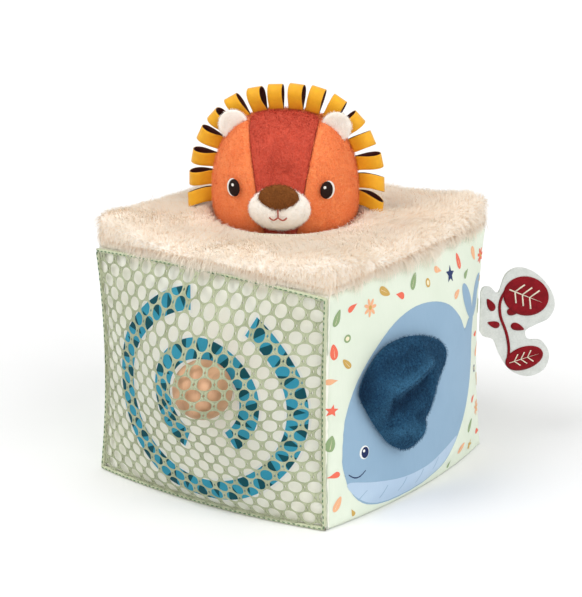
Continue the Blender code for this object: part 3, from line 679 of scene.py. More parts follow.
def drawStage():
    scene = bpy.context.scene
    scene.view_settings.view_transform = "Standard"
    camera = bpy.data.cameras.new("camera")
    camera.lens = stage["lens"]
    camera.sensor_width = 36
    camera.clip_start = 0.05
    shown = bpy.data.objects.new("camera", camera)
    scene.collection.objects.link(shown)
    shown.location = stage["cameraPlace"]
    shown.rotation_euler = (Vector(stage["cameraAim"]) - shown.location).to_track_quat("-Z", "Y").to_euler()
    scene.camera = shown

    world = bpy.data.worlds.new("studio")
    scene.world = world
    world.use_nodes = True
    # It lights the object at one strength, and the camera and gloss see it plain white
    nodes = world.node_tree.nodes
    light = nodes["Background"]
    light.inputs["Color"].default_value = linear("ffffff")
    light.inputs["Strength"].default_value = stage["worldStrength"]
    seen = addNode(world, "ShaderNodeBackground", Color="ffffff")
    path = addNode(world, "ShaderNodeLightPath").outputs
    either = mathOn(world, "MAXIMUM", path["Is Camera Ray"], path["Is Glossy Ray"])
    feed(world, nodes["World Output"].inputs["Surface"], mixShaders(world, either, light, seen))

    pale = newMaterial("paleFloor", stage["floorColour"], roughness=1.0, specular=0.0)
    grain = noiseOn(pale, clothPlace(pale, source="object"), 8, 2)
    setColour(pale, mixOn(pale, grain, stage["floorColour"], stage["floorLight"]))
    seen = addNode(pale, "ShaderNodeLightPath").outputs["Is Camera Ray"]
    feed(pale, shaderOf(pale).inputs["Emission Strength"], partly(pale, seen, stage["floorGlow"]))
    feed(pale, shaderOf(pale).inputs["Emission Color"], "ffffff")
    size = stage["floorSize"]
    points = [(-size, -size, 0), (size, -size, 0), (size, size, 0), (-size, size, 0)]
    floor = linkPiece("floor", meshFrom("floor", points, [[[0, 1, 2, 3]]], smooth=False), [pale])
    floor.location.z = -stage["floorDrop"]
    addLamp("keyLight", stage["keyFrom"], stage["keySpread"], stage["keyStrength"])
    addLamp("fillLight", stage["fillFrom"], stage["fillSpread"], stage["fillStrength"])


drawStage()
print("stage, lights and camera are up")

# Cloth sides and what is printed on them
sides = {
    "ivory": "fffff6",
    "ivoryShade": "fcf9ea",
    "mint": "e8f0df",
    "mintShade": "dfe9d6",
    "inkLift": 0.1 * mm,
    "inkGrain": 2 * mm,
    "trackLight": "3fa9c9",
    "trackDark": "0f5b69",
    "trackWhite": "fbfbf6",
    "trackWidth": 12.5,
    "trackEdge": 1.5,
}
# Rings of the track: middle across and up, half sizes, start and end in degrees, all in mm
trackRings = [(4, 69, 62, 57, 100, 418), (6, 70, 31, 30, -52, 248)]
whale = {
    "body": "97b5cd",
    "bodyShade": "8eadc6",
    "belly": "bdd2e6",
    "eye": "22305c",
    "eyeWhite": "f6f7f4",
}
whaleOutline = [(-73, 50), (-72, 30), (-63, 13), (-45, 5), (-20, 3.5), (5, 6), (25, 14), (41, 27),
        (53, 44), (60, 62),
                (62, 80), (64, 93), (54, 94), (46, 90), (38, 100), (24, 111), (5, 117), (-17, 118), (-38,
                        112),
                (-56, 97), (-68, 75)]
motifInks = {"coral": "f0735c", "peach": "f4b78d", "ochre": "cfa95c", "sage": "93ab7d", "navy": "2b3a68", "cream": "f7ecc9"}
# Small printed shapes: kind, across, up, half length in mm, tilt in degrees, ink
motifs = [
    ("leaf", -78, 128, 5, 70, "sage"), ("drop", -66, 131, 4, 20, "coral"), ("daisy", -52, 127, 5, 0, "peach"),
    ("leaf", -38, 132, 5, -30, "ochre"), ("drop", -25, 127, 4, 160, "coral"), ("leaf", -10, 131, 5, 50, "sage"),
    ("ring", 4, 127, 3, 0, "ochre"), ("drop", 17, 131, 4, -20, "peach"), ("star", 30, 126, 5, 10, "navy"),
    ("leaf", 42, 131, 5, 110, "coral"), ("drop", 52, 122, 4, 30, "sage"), ("leaf", 64, 131, 5, -60, "peach"),
    ("daisy", 77, 127, 5, 12, "coral"), ("drop", 80, 112, 4, 10, "ochre"), ("leaf", 36, 114, 4, 20, "peach"),
    ("leaf", -79, 108, 5, 100, "coral"), ("ring", -70, 114, 3, 0, "sage"), ("drop", -79, 90, 4, 0, "peach"),
    ("leaf", -70, 99, 4, 130, "ochre"), ("star", -79, 72, 4, 8, "coral"), ("leaf", -80, 52, 5, 80, "sage"),
    ("drop", -79, 32, 4, 190, "coral"), ("leaf", -77, 14, 5, 60, "peach"), ("drop", -66, 6, 3, 120, "ochre"),
    ("leaf", 79, 94, 5, 95, "sage"), ("drop", 71, 78, 4, 170, "coral"), ("leaf", 78, 66, 5, 70, "peach"),
    ("ring", 70, 56, 3, 0, "navy"), ("leaf", 79, 46, 5, 110, "ochre"), ("drop", 66, 38, 4, 15, "coral"),
    ("daisy", 76, 28, 5, 6, "peach"), ("leaf", 60, 22, 5, 40, "sage"), ("drop", 77, 12, 4, -15, "coral"),
    ("leaf", 46, 12, 5, 20, "peach"), ("star", 62, 8, 4, 0, "ochre"), ("drop", 32, 6, 3, 80, "sage"),
]


def ringPoints(ring, inner, outer, start, end, steps):
    # Outline of part of a ring between two distances from its middle line
    across, up, wide, tall, _, _ = ring
    turn = np.radians(np.linspace(start, end, steps))
    rim = [(across + (wide + outer) * math.cos(t), up + (tall + outer) * math.sin(t)) for t in turn]
    back = [(across + (wide + inner) * math.cos(t), up + (tall + inner) * math.sin(t)) for t in turn[::-1]]
    return rim + back


def motifOutline(kind, across, up, size, tilt):
    # Outlines, in mm, of one small printed shape
    lean = math.radians(tilt)

    def placed(points, turn=0.0):
        c, s = math.cos(lean + turn), math.sin(lean + turn)
        return [(across + x * c - y * s, up + x * s + y * c) for x, y in points]

    turn = roundTurn(20)
    if kind == "leaf":
        return [placed([(size * math.cos(t), size * 0.4 * math.sin(t)
                * (1.15 - 0.35 * math.cos(t))) for t in turn])]
    if kind == "drop":
        return [placed([(size * math.cos(t), size * 0.5 * math.sin(t) * (1 - math.cos(t))
                / 1.4) for t in turn])]
    if kind == "ring":
        return [placed([(size * 0.8 * math.cos(t), size * 0.8 * math.sin(t)) for t in turn])]
    if kind == "star":
        reach = [size if k % 2 == 0 else size * 0.45 for k in range(10)]
        return [placed([(r * math.cos(k * math.pi / 5), r * math.sin(k * math.pi / 5)) for k,
                r in enumerate(reach)])]
    petal = [(size * 0.6 + size * 0.45 * math.cos(t), size * 0.2 * math.sin(t)) for t in turn[::2]]
    return [placed(petal, k * math.pi / 3.5) for k in range(7)]


def smoothOutline(points, count):
    # The smooth closed line through flat points, as count points
    spread = [(x, z, 0) for x, z in points]
    return [tuple(closedCurve(spread, k / count))[:2] for k in range(count)]


def drawSides():
    ivory = cottonMaterial("ivoryCotton", sides["ivory"], sides["ivoryShade"])
    mint = cottonMaterial("mintCotton", sides["mint"], sides["mintShade"])
    drawPanel("netSidePanel", "net_side_panel", 0, ivory)
    drawPanel("flapSidePanel", "flap_side_panel", 1, mint)
    drawPanel("rearPanel", "rear_panel", 2, mint)
    drawPanel("leftPanel", "left_panel", 3, mint)

    # Bottom cloth, drawn in a little at its seam
    share = np.linspace(-1, 1, 61) * (1 - 2 * block["gap"] / block["side"])
    u, v = np.meshgrid(share, share)
    edge = np.minimum(1 - np.abs(u), 1 - np.abs(v)) * block["side"] / 2
    low = blockPoint(u, v, 0, 1.2 * mm)
    low[..., 2] = 1.1 * mm * np.exp(-(edge / (2.5 * mm)) ** 2) + 0.02 * mm
    high = low + (0, 0, 2.4 * mm)
    flat = np.stack([low[..., 0], low[..., 1]], -1)
    base = linkPiece("basePanel", slabMesh("basePanel", low[::-1], high[::-1], flat[::-1]), [mint])
    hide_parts("base_panel")
    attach(base, "cube")

    # Track of open rings behind the net
    inks = [printMaterial("trackWhite", sides["trackWhite"], "efeee6"),
            printMaterial("trackLight", sides["trackLight"], "369cbe"),
            printMaterial("trackDark", sides["trackDark"], "0c4d5b")]
    half, edge = sides["trackWidth"] / 2, sides["trackEdge"]
    outlines = []
    for ring in trackRings:
        start, end = ring[4:]
        spare = math.degrees(edge / ring[2])
        outlines.append((0, ringPoints(ring, -half - edge, half + edge, start - spare, end + spare, 90), 0))
        outlines.append((1, ringPoints(ring, -half, half, start, end, 90), 0.05 * mm))
        count = round(math.radians(end - start) * ring[2] / 11)
        step = (end - start) / count
        for k in range(count):
            a, b = start + k * step, start + (k + 1) * step
            middle, reach = math.radians((a + b) / 2), -half if k % 2 else half
            rim = ringPoints(ring, 0, reach * 0.98, a + 0.1 * step, b - 0.1 * step, 5)[:5]
            apex = (ring[0] + (ring[2] - reach * 0.75) * math.cos(middle),
                    ring[1] + (ring[3] - reach * 0.75) * math.sin(middle))
            outlines.append((2, rim + [apex], 0.1 * mm))
    printOn("trackPrint", 0, outlines, inks)

    # Whale and small shapes beside the flap
    names = list(motifInks)
    inks = [printMaterial("whaleBody", whale["body"], whale["bodyShade"]),
            printMaterial("whaleBelly", whale["belly"], "afc6de"),
            printMaterial("whaleEye", whale["eye"], "1b2650"),
            printMaterial("whaleEyeWhite", whale["eyeWhite"], "e9ebe8")]
    inks += [printMaterial(name + "Ink", motifInks[name], motifInks[name]) for name in names]
    body = smoothOutline(whaleOutline, 84)
    outlines = [(0, body, 0)]
    outlines.append((0, ovalPoints(70, 104, 14, 5.5, 58), 0.02 * mm))
    outlines.append((0, ovalPoints(53, 105, 14, 5.5, 122), 0.03 * mm))
    belly = [(-70, 25), (-62, 13.5), (-45, 6), (-20, 4.5), (5, 7), (25, 15), (36, 24), (20, 21), (0, 17),
            (-25, 17), (-50, 21)]
    outlines.append((1, smoothOutline(belly, 55), 0.04 * mm))
    for k in range(5):
        a = [(-62 + 17 * k, 9.5 - k * 0.4 + (k == 0) * 4 + (k > 3) * 4),
                (-56 + 17 * k, 17.5 - (k > 0) * 1.5 + (k > 3) * 2)]
        (x0, z0), (x1, z1) = a
        outlines.append((0, [(x0 - 0.5, z0), (x0 + 0.5, z0), (x1 + 0.4, z1), (x1 - 0.4, z1)], 0.06 * mm))
    outlines.append((3, ovalPoints(-58.5, 42, 3.4, 4.2), 0.05 * mm))
    outlines.append((2, ovalPoints(-58.0, 41.8, 2.6, 3.5), 0.08 * mm))
    outlines.append((3, ovalPoints(-58.8, 43.0, 0.8, 0.9), 0.11 * mm))
    smile = [(-69.5 + 2 * k, 30.5 - 3.2 * math.sin(math.pi * k / 6)) for k in range(7)]
    outlines.append((2, [(x, z + 0.4) for x, z in smile] + [(x, z - 0.4) for x, z in smile[::-1]], 0.07 * mm))
    for kind, across, up, size, tilt, ink in motifs:
        number = 4 + names.index(ink)
        for points in motifOutline(kind, across, up, size, tilt):
            outlines.append((number, points, 0.02 * mm))
        if kind == "daisy":
            outlines.append((4 + names.index("ochre"), ovalPoints(across, up, 1.2, 1.2), 0.06 * mm))
        if kind == "ring":
            outlines.append((4 + names.index("cream"), ovalPoints(across, up, 1.3, 1.3), 0.06 * mm))
        if kind == "leaf":
            c, s = math.cos(math.radians(tilt)) * size * 0.7, math.sin(math.radians(tilt)) * size * 0.7
            w = (-0.2 * s / size, 0.2 * c / size)
            vein = [(across - c + w[0], up - s + w[1]), (across - c - w[0], up - s - w[1]),
                    (across + c, up + s)]
            outlines.append((4 + names.index("cream"), vein, 0.06 * mm))
    printOn("whalePrint", 1, outlines, inks)


drawSides()
print("cloth sides and prints are made")


# Foam under the cloth
def drawFoam():
    foam = newMaterial("foam", "f4f1e4", roughness=0.95, specular=0.1)
    place = clothPlace(foam, source="object")
    cells = rampOn(foam, noiseOn(foam, place, 420, 3), 0.3, 0.7)
    setColour(foam, mixOn(foam, cells, "f4f1e4", "ddd8c4"))
    addBump(foam, cells, 0.7, 0.8 * mm)
    mesh = bpy.data.objects["foam_core"].data.copy()
    mesh.name = "foamBlock"
    # Its skin follows the cloth, drawn in at the top
    points = np.array([v.co for v in mesh.vertices])
    z = points[:, 2]
    half, crown = seamHalf(z), block["faceCrown"] + block["belly"] * sagShare(z)
    share = points[:, :2] / (half + crown)[:, None]
    for _ in range(8):
        share = points[:, :2] / (half[:, None] + crown[:, None] * (1 - share[:, ::-1] ** 2))
    skin = smoothStep(0.8, 0.96, np.abs(share).max(1))
    points[:, :2] += share * ((crownAt(z) - crown) * skin)[:, None] * (1 - share[:, ::-1] ** 2)
    mesh.vertices.foreach_set("co", points.astype(np.float32).ravel())
    mesh.materials.clear()
    piece = linkPiece("foamBlock", mesh, [foam])
    remesh = piece.modifiers.new("even", "REMESH")
    remesh.mode = "VOXEL"
    remesh.voxel_size = 3.5 * mm
    smooth = piece.modifiers.new("soften", "SMOOTH")
    smooth.factor = 0.5
    smooth.iterations = 3
    applyModifiers(piece)
    piece.data.shade_smooth()
    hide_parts("foam_core")
    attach(piece, "cube")


def applyModifiers(piece):
    bpy.context.view_layer.update()
    graph = bpy.context.evaluated_depsgraph_get()
    mesh = bpy.data.meshes.new_from_object(piece.evaluated_get(graph))
    piece.modifiers.clear()
    old = piece.data
    piece.data = mesh
    bpy.data.meshes.remove(old)


drawFoam()
print("foam block is made")

# Loose ball and the net over it
ball = {
    "radius": 17.5 * mm,
    "across": 19 * mm,
    "height": 83 * mm,
    "wood": "e0b08a",
    "grain": "a97a57",
}
net = {
    "pitchAcross": 10.5 * mm,
    "pitchUp": 6.5 * mm,
    "strand": 1.3 * mm,
    "thickness": 0.85 * mm,
    "clearance": 0.9 * mm,
    "wrap": 39,
    "edgeFade": 6,
    "margin": 1.3 * mm,
    "holeWide": 3.75 * mm,
    "holeTall": 3.5 * mm,
    "pullReach": 56 * mm,
    "pullShare": 0.5,
    "shift": 0.45,
    "through": 0.22,
    "pinhole": 0.35 * mm,
    "colour": "d0d6b6",
    "shade": "b6bd9a",
    "bindingRadius": 1.25 * mm,
    "stitchLength": 2.3 * mm,
    "stitchSpace": 1.0 * mm,
    "stitchColour": "4c7a52",
}


def drawBall():
    wood = newMaterial("ballWood", ball["wood"], roughness=0.5, specular=0.4)
    place = clothPlace(wood, (1, 0.25, 0.25), turn=0.4, source="object")
    look = {"Vector": place, "Scale": 55, "Distortion": 3.5, "Detail": 2.0}
    rings = addNode(wood, "ShaderNodeTexWave", wave_type="RINGS", rings_direction="X", **look).outputs["Fac"]
    pores = noiseOn(wood, clothPlace(wood, (1, 0.08, 0.3), turn=0.4, source="object"), 900, 2)
    body = mixOn(wood, partly(wood, rings, 0.45), ball["wood"], ball["grain"])
    setColour(wood, mixOn(wood, partly(wood, rampOn(wood, pores, 0.5, 0.8), 0.3), body, ball["grain"]))
    addBump(wood, pores, 0.15, 0.1 * mm)
    points = roundPoints(45, 72) * ball["radius"]
    mesh = tidyFaces(meshFrom("looseBall", points, [gridFaces(45, 72, closed=True)]))
    reach = clothReach(ball["across"], ball["height"]) + ball["radius"] + block["gap"]
    mesh.transform(Matrix.Translation((ball["across"], -float(reach), ball["height"])))
    piece = linkPiece("looseBall", mesh, [wood])
    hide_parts("ball")
    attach(piece, "ball")


def netTent(away):
    # How far the net stands off the cloth, by the distance from the ball's middle
    skin = ball["radius"] + net["clearance"] + net["strand"]
    wrap = math.radians(net["wrap"])
    near = skin * math.sin(wrap)
    foot = ball["radius"] + skin * math.cos(wrap)
    cap = ball["radius"] + np.sqrt(np.maximum(skin**2 - away**2, 0))
    return np.where(away < near, cap, foot * np.exp((near - away) * math.tan(wrap) / foot))


def netLift(across, z):
    # Over the ball like a tent, and down to the bound edge
    tent = netTent(np.hypot(across - ball["across"], z - ball["height"]))
    edgeAcross = np.minimum(1, np.abs(across) / (block["side"] / 2))
    edgeUp = np.minimum(1, np.abs(2 * z / block["panelHeight"] - 1))
    return tent * (1 - edgeAcross ** net["edgeFade"]) * (1 - edgeUp ** net["edgeFade"])


def netPoint(across, z, lift):
    reach = clothReach(across, z) + netLift(across, z) + block["gap"] + net["strand"] + lift
    return np.stack([across, -reach, z + archAt(across / seamHalf(z), z)], -1)


def netPull(x, z):
    # Meshes over the ball keep their size along the tent's slope, and those round it give way
    r = np.linspace(0, net["pullReach"], 300)
    tall = netTent(r)
    slope = np.gradient(tall, r)
    excess = np.concatenate([[0], np.cumsum((np.sqrt(1 + slope**2) - 1)[1:] * np.diff(r))])
    flat = r + net["pullShare"] * (excess - excess[-1] * smoothStep(12 * mm, net["pullReach"], r))
    dx, dz = x - ball["across"], z - ball["height"]
    away = np.maximum(np.hypot(dx, dz), 1e-9)
    share = np.where(away < net["pullReach"], np.interp(away, flat, r), away) / away
    x, z = ball["across"] + dx * share, ball["height"] + dz * share
    edge = 1 - np.minimum(1, np.abs(x) / (block["side"] / 2)) ** 2
    tent = netTent(np.hypot(x - ball["across"], z - ball["height"]))
    return x + net["shift"] * tent * edge, z


def drawNet():
    knit = newMaterial("netKnit", net["colour"], roughness=0.85, sheen=0.15, specular=0.25)
    place = clothPlace(knit)
    tone = rampOn(knit, noiseOn(knit, place, 60, 3), 0.3, 0.7)
    loops = waveOn(knit, place, "DIAGONAL", 1500)
    body = mixOn(knit, tone, net["colour"], net["shade"])
    body = mixOn(knit, partly(knit, loops, 0.3), body, "cdd4b4")
    # Painted shade: dark dots where the knit's small openings would show shadow, and darker rims round each hole
    paintedHoleShade = valueOf(knit, "paintedHoleShade")
    body = mixOn(knit, partly(knit, paintedHoleShade, 0.8), body, "4d5a3a")
    setColour(knit, body)
    letThrough(knit, body, net["through"])
    addBump(knit, loops, 0.8, 0.25 * mm)

    half = block["side"] / 2 - net["margin"]
    low, high = net["margin"], block["panelHeight"] - net["margin"]
    wide, tall = net["pitchAcross"] / 2, net["pitchUp"] / 1.5
    # Directions round a mesh cell, with its corners among them
    corner = math.degrees(math.atan2(tall / 2, wide))
    quarter = [0, corner / 2, corner] + [corner + (90 - corner) * k / 4 for k in (1, 2, 3, 4)]
    turns = np.array(quarter + [180 - t for t in quarter[-2::-1]])
    turns = np.radians(np.concatenate([turns, turns[1:-1] + 180]))
    hexagon = np.array([(0, tall), (-wide, tall / 2), (-wide, -tall / 2), (0, -tall), (wide, -tall / 2),
            (wide, tall / 2)])
    border = []
    for t in turns:
        d = np.array([math.cos(t), math.sin(t)])
        best = 9.0
        for a, b in zip(hexagon, np.roll(hexagon, -1, 0)):
            e = b - a
            crossing = d[0] * e[1] - d[1] * e[0]
            if abs(crossing) > 1e-12:
                r = (a[0] * e[1] - a[1] * e[0]) / crossing
                s = (a[0] * d[1] - a[1] * d[0]) / crossing
                if r > 0 and -1e-6 <= s <= 1 + 1e-6:
                    best = min(best, r)
        border.append(d * best)
    border = np.array(border)
    sideways = np.abs(np.cos(turns)) > 0.999
    # Painted shade on each cell: dark dots at the sideways openings and a darker rim at the hole's edge
    paintedHoleShades = np.zeros((8, len(turns)), np.float32)
    paintedHoleShades[3:6, sideways] = (0.6,), (1.0,), (0.6,)
    paintedHoleShades[[0, 1, 7]] = (0.32,), (0.06,), (0.06,)
    border[sideways] *= 1 - net["pinhole"] / wide
    power = 2.35
    c, s = np.cos(turns), np.sin(turns)
    hole = (np.abs(c / net["holeWide"]) ** power + np.abs(s / net["holeTall"]) ** power) ** (-1 / power)
    hole = np.stack([c, s], -1) * hole[:, None]
    thick = net["thickness"] / 2
    # Rings of one mesh cell, from its middle outwards: share of the way from hole to border, and height
    profile = [(0.0, 0.0), (0.16, 0.8), (0.5, 1.0), (0.84, 0.75), (1.0, 0.15), (0.84, -0.75), (0.5, -1.0),
            (0.16, -0.8)]
    count = len(turns)
    random = np.random.default_rng(11)
    points, faces, cells = [], [], 0
    rows = math.ceil((high - low) / net["pitchUp"]) + 1
    columns = math.ceil(2 * half / net["pitchAcross"]) + 2
    for row in range(rows):
        for column in range(columns):
            x = -half + (column + 0.5 * (row % 2) - 0.5) * net["pitchAcross"]
            z = low + row * net["pitchUp"]
            if abs(x) > half + 0.2 * wide or z > high + 0.2 * tall:
                continue
            uneven = 1 + random.normal(size=2) * 0.03
            ring = []
            for share, height in profile:
                at = hole * uneven * (1 - share) + border * share
                ring.append(np.concatenate([at + (x, z), np.full((count, 1), height * thick)], 1))
            ring = np.array(ring)
            faces.append(ringFaces(len(profile), count, cells * len(profile) * count))
            points.append(ring.reshape(-1, 3))
            cells += 1
    flat = np.concatenate(points)
    x, z, lift = flat.T
    x, z = netPull(x, z)
    x = x + 0.5 * mm * np.sin(z / (15 * mm) + 1.0) + 0.3 * mm * np.sin(x / (11 * mm))
    z = z + 0.5 * mm * np.sin(x / (17 * mm) + 0.6)
    z = np.clip(z, low, high)
    x = x * (seamHalf(z) - net["margin"]) / half
    limit = seamHalf(z) - net["margin"]
    x = np.clip(x, -limit, limit)
    wave = 0.35 * mm * np.sin(x / (7 * mm)) * np.sin(z / (9 * mm))
    mesh = meshFrom("playNet", netPoint(x, z, lift + wave), faces)
    pointValues(mesh, "paintedHoleShade", np.tile(paintedHoleShades.ravel(), cells))
    setCloth(mesh, np.stack([x, z], -1))
    piece = linkPiece("playNet", tidyFaces(mesh, merge=False), [knit])
    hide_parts("play_net")
    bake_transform(piece)
    print("net has", cells, "meshes")

    # Bound edge with a line of stitches
    edge = newMaterial("netEdge", "c3c8ab", roughness=0.85, sheen=0.15)
    place = clothPlace(edge, source="object")
    twist = noiseOn(edge, place, 700, 2)
    setColour(edge, mixOn(edge, twist, "cdd2b6", net["shade"]))
    addBump(edge, twist, 0.6, 0.3 * mm)
    thread = threadMaterial("greenThread", net["stitchColour"], "3c6643", 1500, 0.5, 0.15 * mm,
                            roughness=0.55, sheen=0.2)
    inset = net["bindingRadius"] + 0.1 * mm
    corners = [(-1, inset), (1, inset), (1, block["panelHeight"] - inset), (-1, block["panelHeight"] - inset)]
    route = []
    for (a, z0), (b, z1) in zip(corners, corners[1:] + corners[:1]):
        for k in range(70):
            t = k / 70
            z = z0 + (z1 - z0) * t
            route.append(((a + (b - a) * t) * (float(seamHalf(z)) - inset), z))
    route = np.array(route)
    x, z = route.T
    wobble = 0.15 * mm * np.sin(np.arange(len(x)) * 1.7)
    line = np.stack([x, -(clothReach(x, z) + 1.5 * mm + wobble), z + archAt(x / seamHalf(z), z)], -1)
    layers = [(0, tubeMesh("netEdge", line, net["bindingRadius"], 10, closed=True))]
    closedLine = np.concatenate([line, line[:1]])
    length = np.concatenate([[0], np.cumsum(np.linalg.norm(np.diff(closedLine, axis=0), axis=1))])
    step = net["stitchLength"] + net["stitchSpace"]
    for start in np.arange(0, length[-1] - step, step):
        at = start + np.linspace(0, net["stitchLength"], 6)
        points = np.stack([np.interp(at, length, closedLine[:, k]) for k in range(3)], -1)
        bow = np.sin(np.linspace(0, math.pi, 6)) * 0.35 * mm
        points[:, 1] -= net["bindingRadius"] * 0.72 + bow
        layers.append((1, tubeMesh("stitch", points, np.array([0.14, 0.3, 0.34, 0.34, 0.3, 0.14]) * mm, 6)))
    binding = linkPiece("netEdge", joined("netEdge", layers), [edge, thread])
    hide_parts("net_binding")
    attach(binding, "cube")


drawBall()
drawNet()
print("ball and net are made")

# Fur top
fur = {
    "height": 21 * mm,
    "dish": 4.5 * mm,
    "cornerRise": 10 * mm,
    "edgeRoll": 9 * mm,
    "edgePower": 14,
    "backing": 3.6 * mm,
    "rim": 46.5 * mm,
    "wallInset": -1.0 * mm,
    "cornerInset": 2.0 * mm,
    "collar": 4.0 * mm,
    "hairs": 32000,
    "fringe": 14000,
    "fringeFrom": 4.5 * mm,
    "fringeLength": 7.0 * mm,
    "hairLength": 5.0 * mm,
    "hairWidth": 0.38 * mm,
    "tuftSize": 4.5 * mm,
    "curls": 420,
    # Along each hair: a darker root, painted shade deep in the pile, and a lighter tip, a painted highlight
    "root": "ffe9cf",
    "body": "fff5e6",
    "tip": "fffcf4",
    "curl": "c9a07c",
}


def furHeight(u, v):
    dish = fur["dish"] * (1 - u * u) * (1 - v * v)
    roll = fur["edgeRoll"] * np.maximum(np.abs(u), np.abs(v)) ** fur["edgePower"]
    # Raised round the lion's cheeks and neck, and not under the chin
    x = u * block["side"] / 2 - block["pocketAcross"]
    y = v * block["side"] / 2 - block["pocketDepth"]
    ahead = (0.5 * x - 0.866 * y) / np.maximum(np.hypot(x, y), 1e-6)
    beside = smoothStep(0.85, 1.0, (0.17 * y - 0.985 * x) / np.maximum(np.hypot(x, y), 1e-6))
    collar = fur["collar"] * (1 - 0.45 * beside) * np.exp(-((np.hypot(x, y) - fur["rim"])
            / (15 * mm)) ** 2) * (1 - smoothStep(0.1, 0.9, ahead))
    return block["panelHeight"] + fur["height"] + fur["cornerRise"] * (u * v) ** 2 - dish - roll + collar


def furBacking():
    # Closed ring of backing: down the mouth of the pocket, over the top, down the sides and back underneath
    turn = roundTurn(200)
    c, s = np.cos(turn), np.sin(turn)
    edge = np.stack([c, s]) / np.maximum(np.abs(c), np.abs(s))
    half, crown = block["side"] / 2, crownAt(block["panelHeight"])
    inset = fur["wallInset"] + fur["cornerInset"] * np.abs(edge[0] * edge[1]) ** 3
    rimX, rimY = block["pocketAcross"] + fur["rim"] * c, block["pocketDepth"] + fur["rim"] * s
    u, v = rimX / (half + crown), rimY / (half + crown)
    for _ in range(8):
        u, v = rimX / (half + crown * (1 - v * v)), rimY / (half + crown * (1 - u * u))
    rows = []
    for drop, closer in ((11, 4.5), (7, 3), (3.5, 1.2), (1.2, 0.3)):
        z = furHeight(u, v) - fur["backing"] - drop * mm
        r = fur["rim"] - closer * mm
        rows.append(np.stack([block["pocketAcross"] + r * c, block["pocketDepth"] + r * s, z], -1))
    for t in np.linspace(0, 1, 36):
        uu, vv = u + (edge[0] - u) * t, v + (edge[1] - v) * t
        place = blockPoint(uu, vv, block["panelHeight"], inset * t)
        lump = 1.1 * mm * np.sin(place[:, 0] / (13 * mm)) * np.sin(place[:, 1] / (15 * mm) + 0.7)
        lump += 0.6 * mm * np.sin(place[:, 0] / (6 * mm) + 2 * np.sin(place[:, 1] / (9 * mm)))
        lump += 0.35 * mm * np.sin(place[:, 0] / (3.1 * mm) + 2
                * np.sin(place[:, 1] / (4 * mm))) * np.sin(place[:, 1] / (2.7 * mm))
        place[:, 2] = furHeight(uu, vv) - fur["backing"] + lump * (1 - t**6) * min(1, t * 6)
        rows.append(place)
    top = rows[-1][:, 2].copy()
    low = block["panelHeight"] + 0.4 * mm + archAt(np.minimum(np.abs(edge[0]), np.abs(edge[1])), block["panelHeight"])
    for t in (0.3, 0.65, 1.0):
        place = blockPoint(edge[0], edge[1], block["panelHeight"], inset)
        place[:, 2] = top + (low - top) * t
        rows.append(place)
    grid = np.array(rows)
    under = np.minimum(grid[0, :, 2].min(), low + 1 * mm)
    grid[0, :, 2] = np.maximum(grid[0, :, 2], under)
    mesh = meshFrom("furTop", grid.reshape(-1, 3), [ringFaces(*grid.shape[:2])[:, ::-1]])
    return tidyFaces(mesh)


def along(vectors, outward):
    # The part of each vector that lies along the cloth
    return vectors - outward * (vectors * outward).sum(1, keepdims=True)


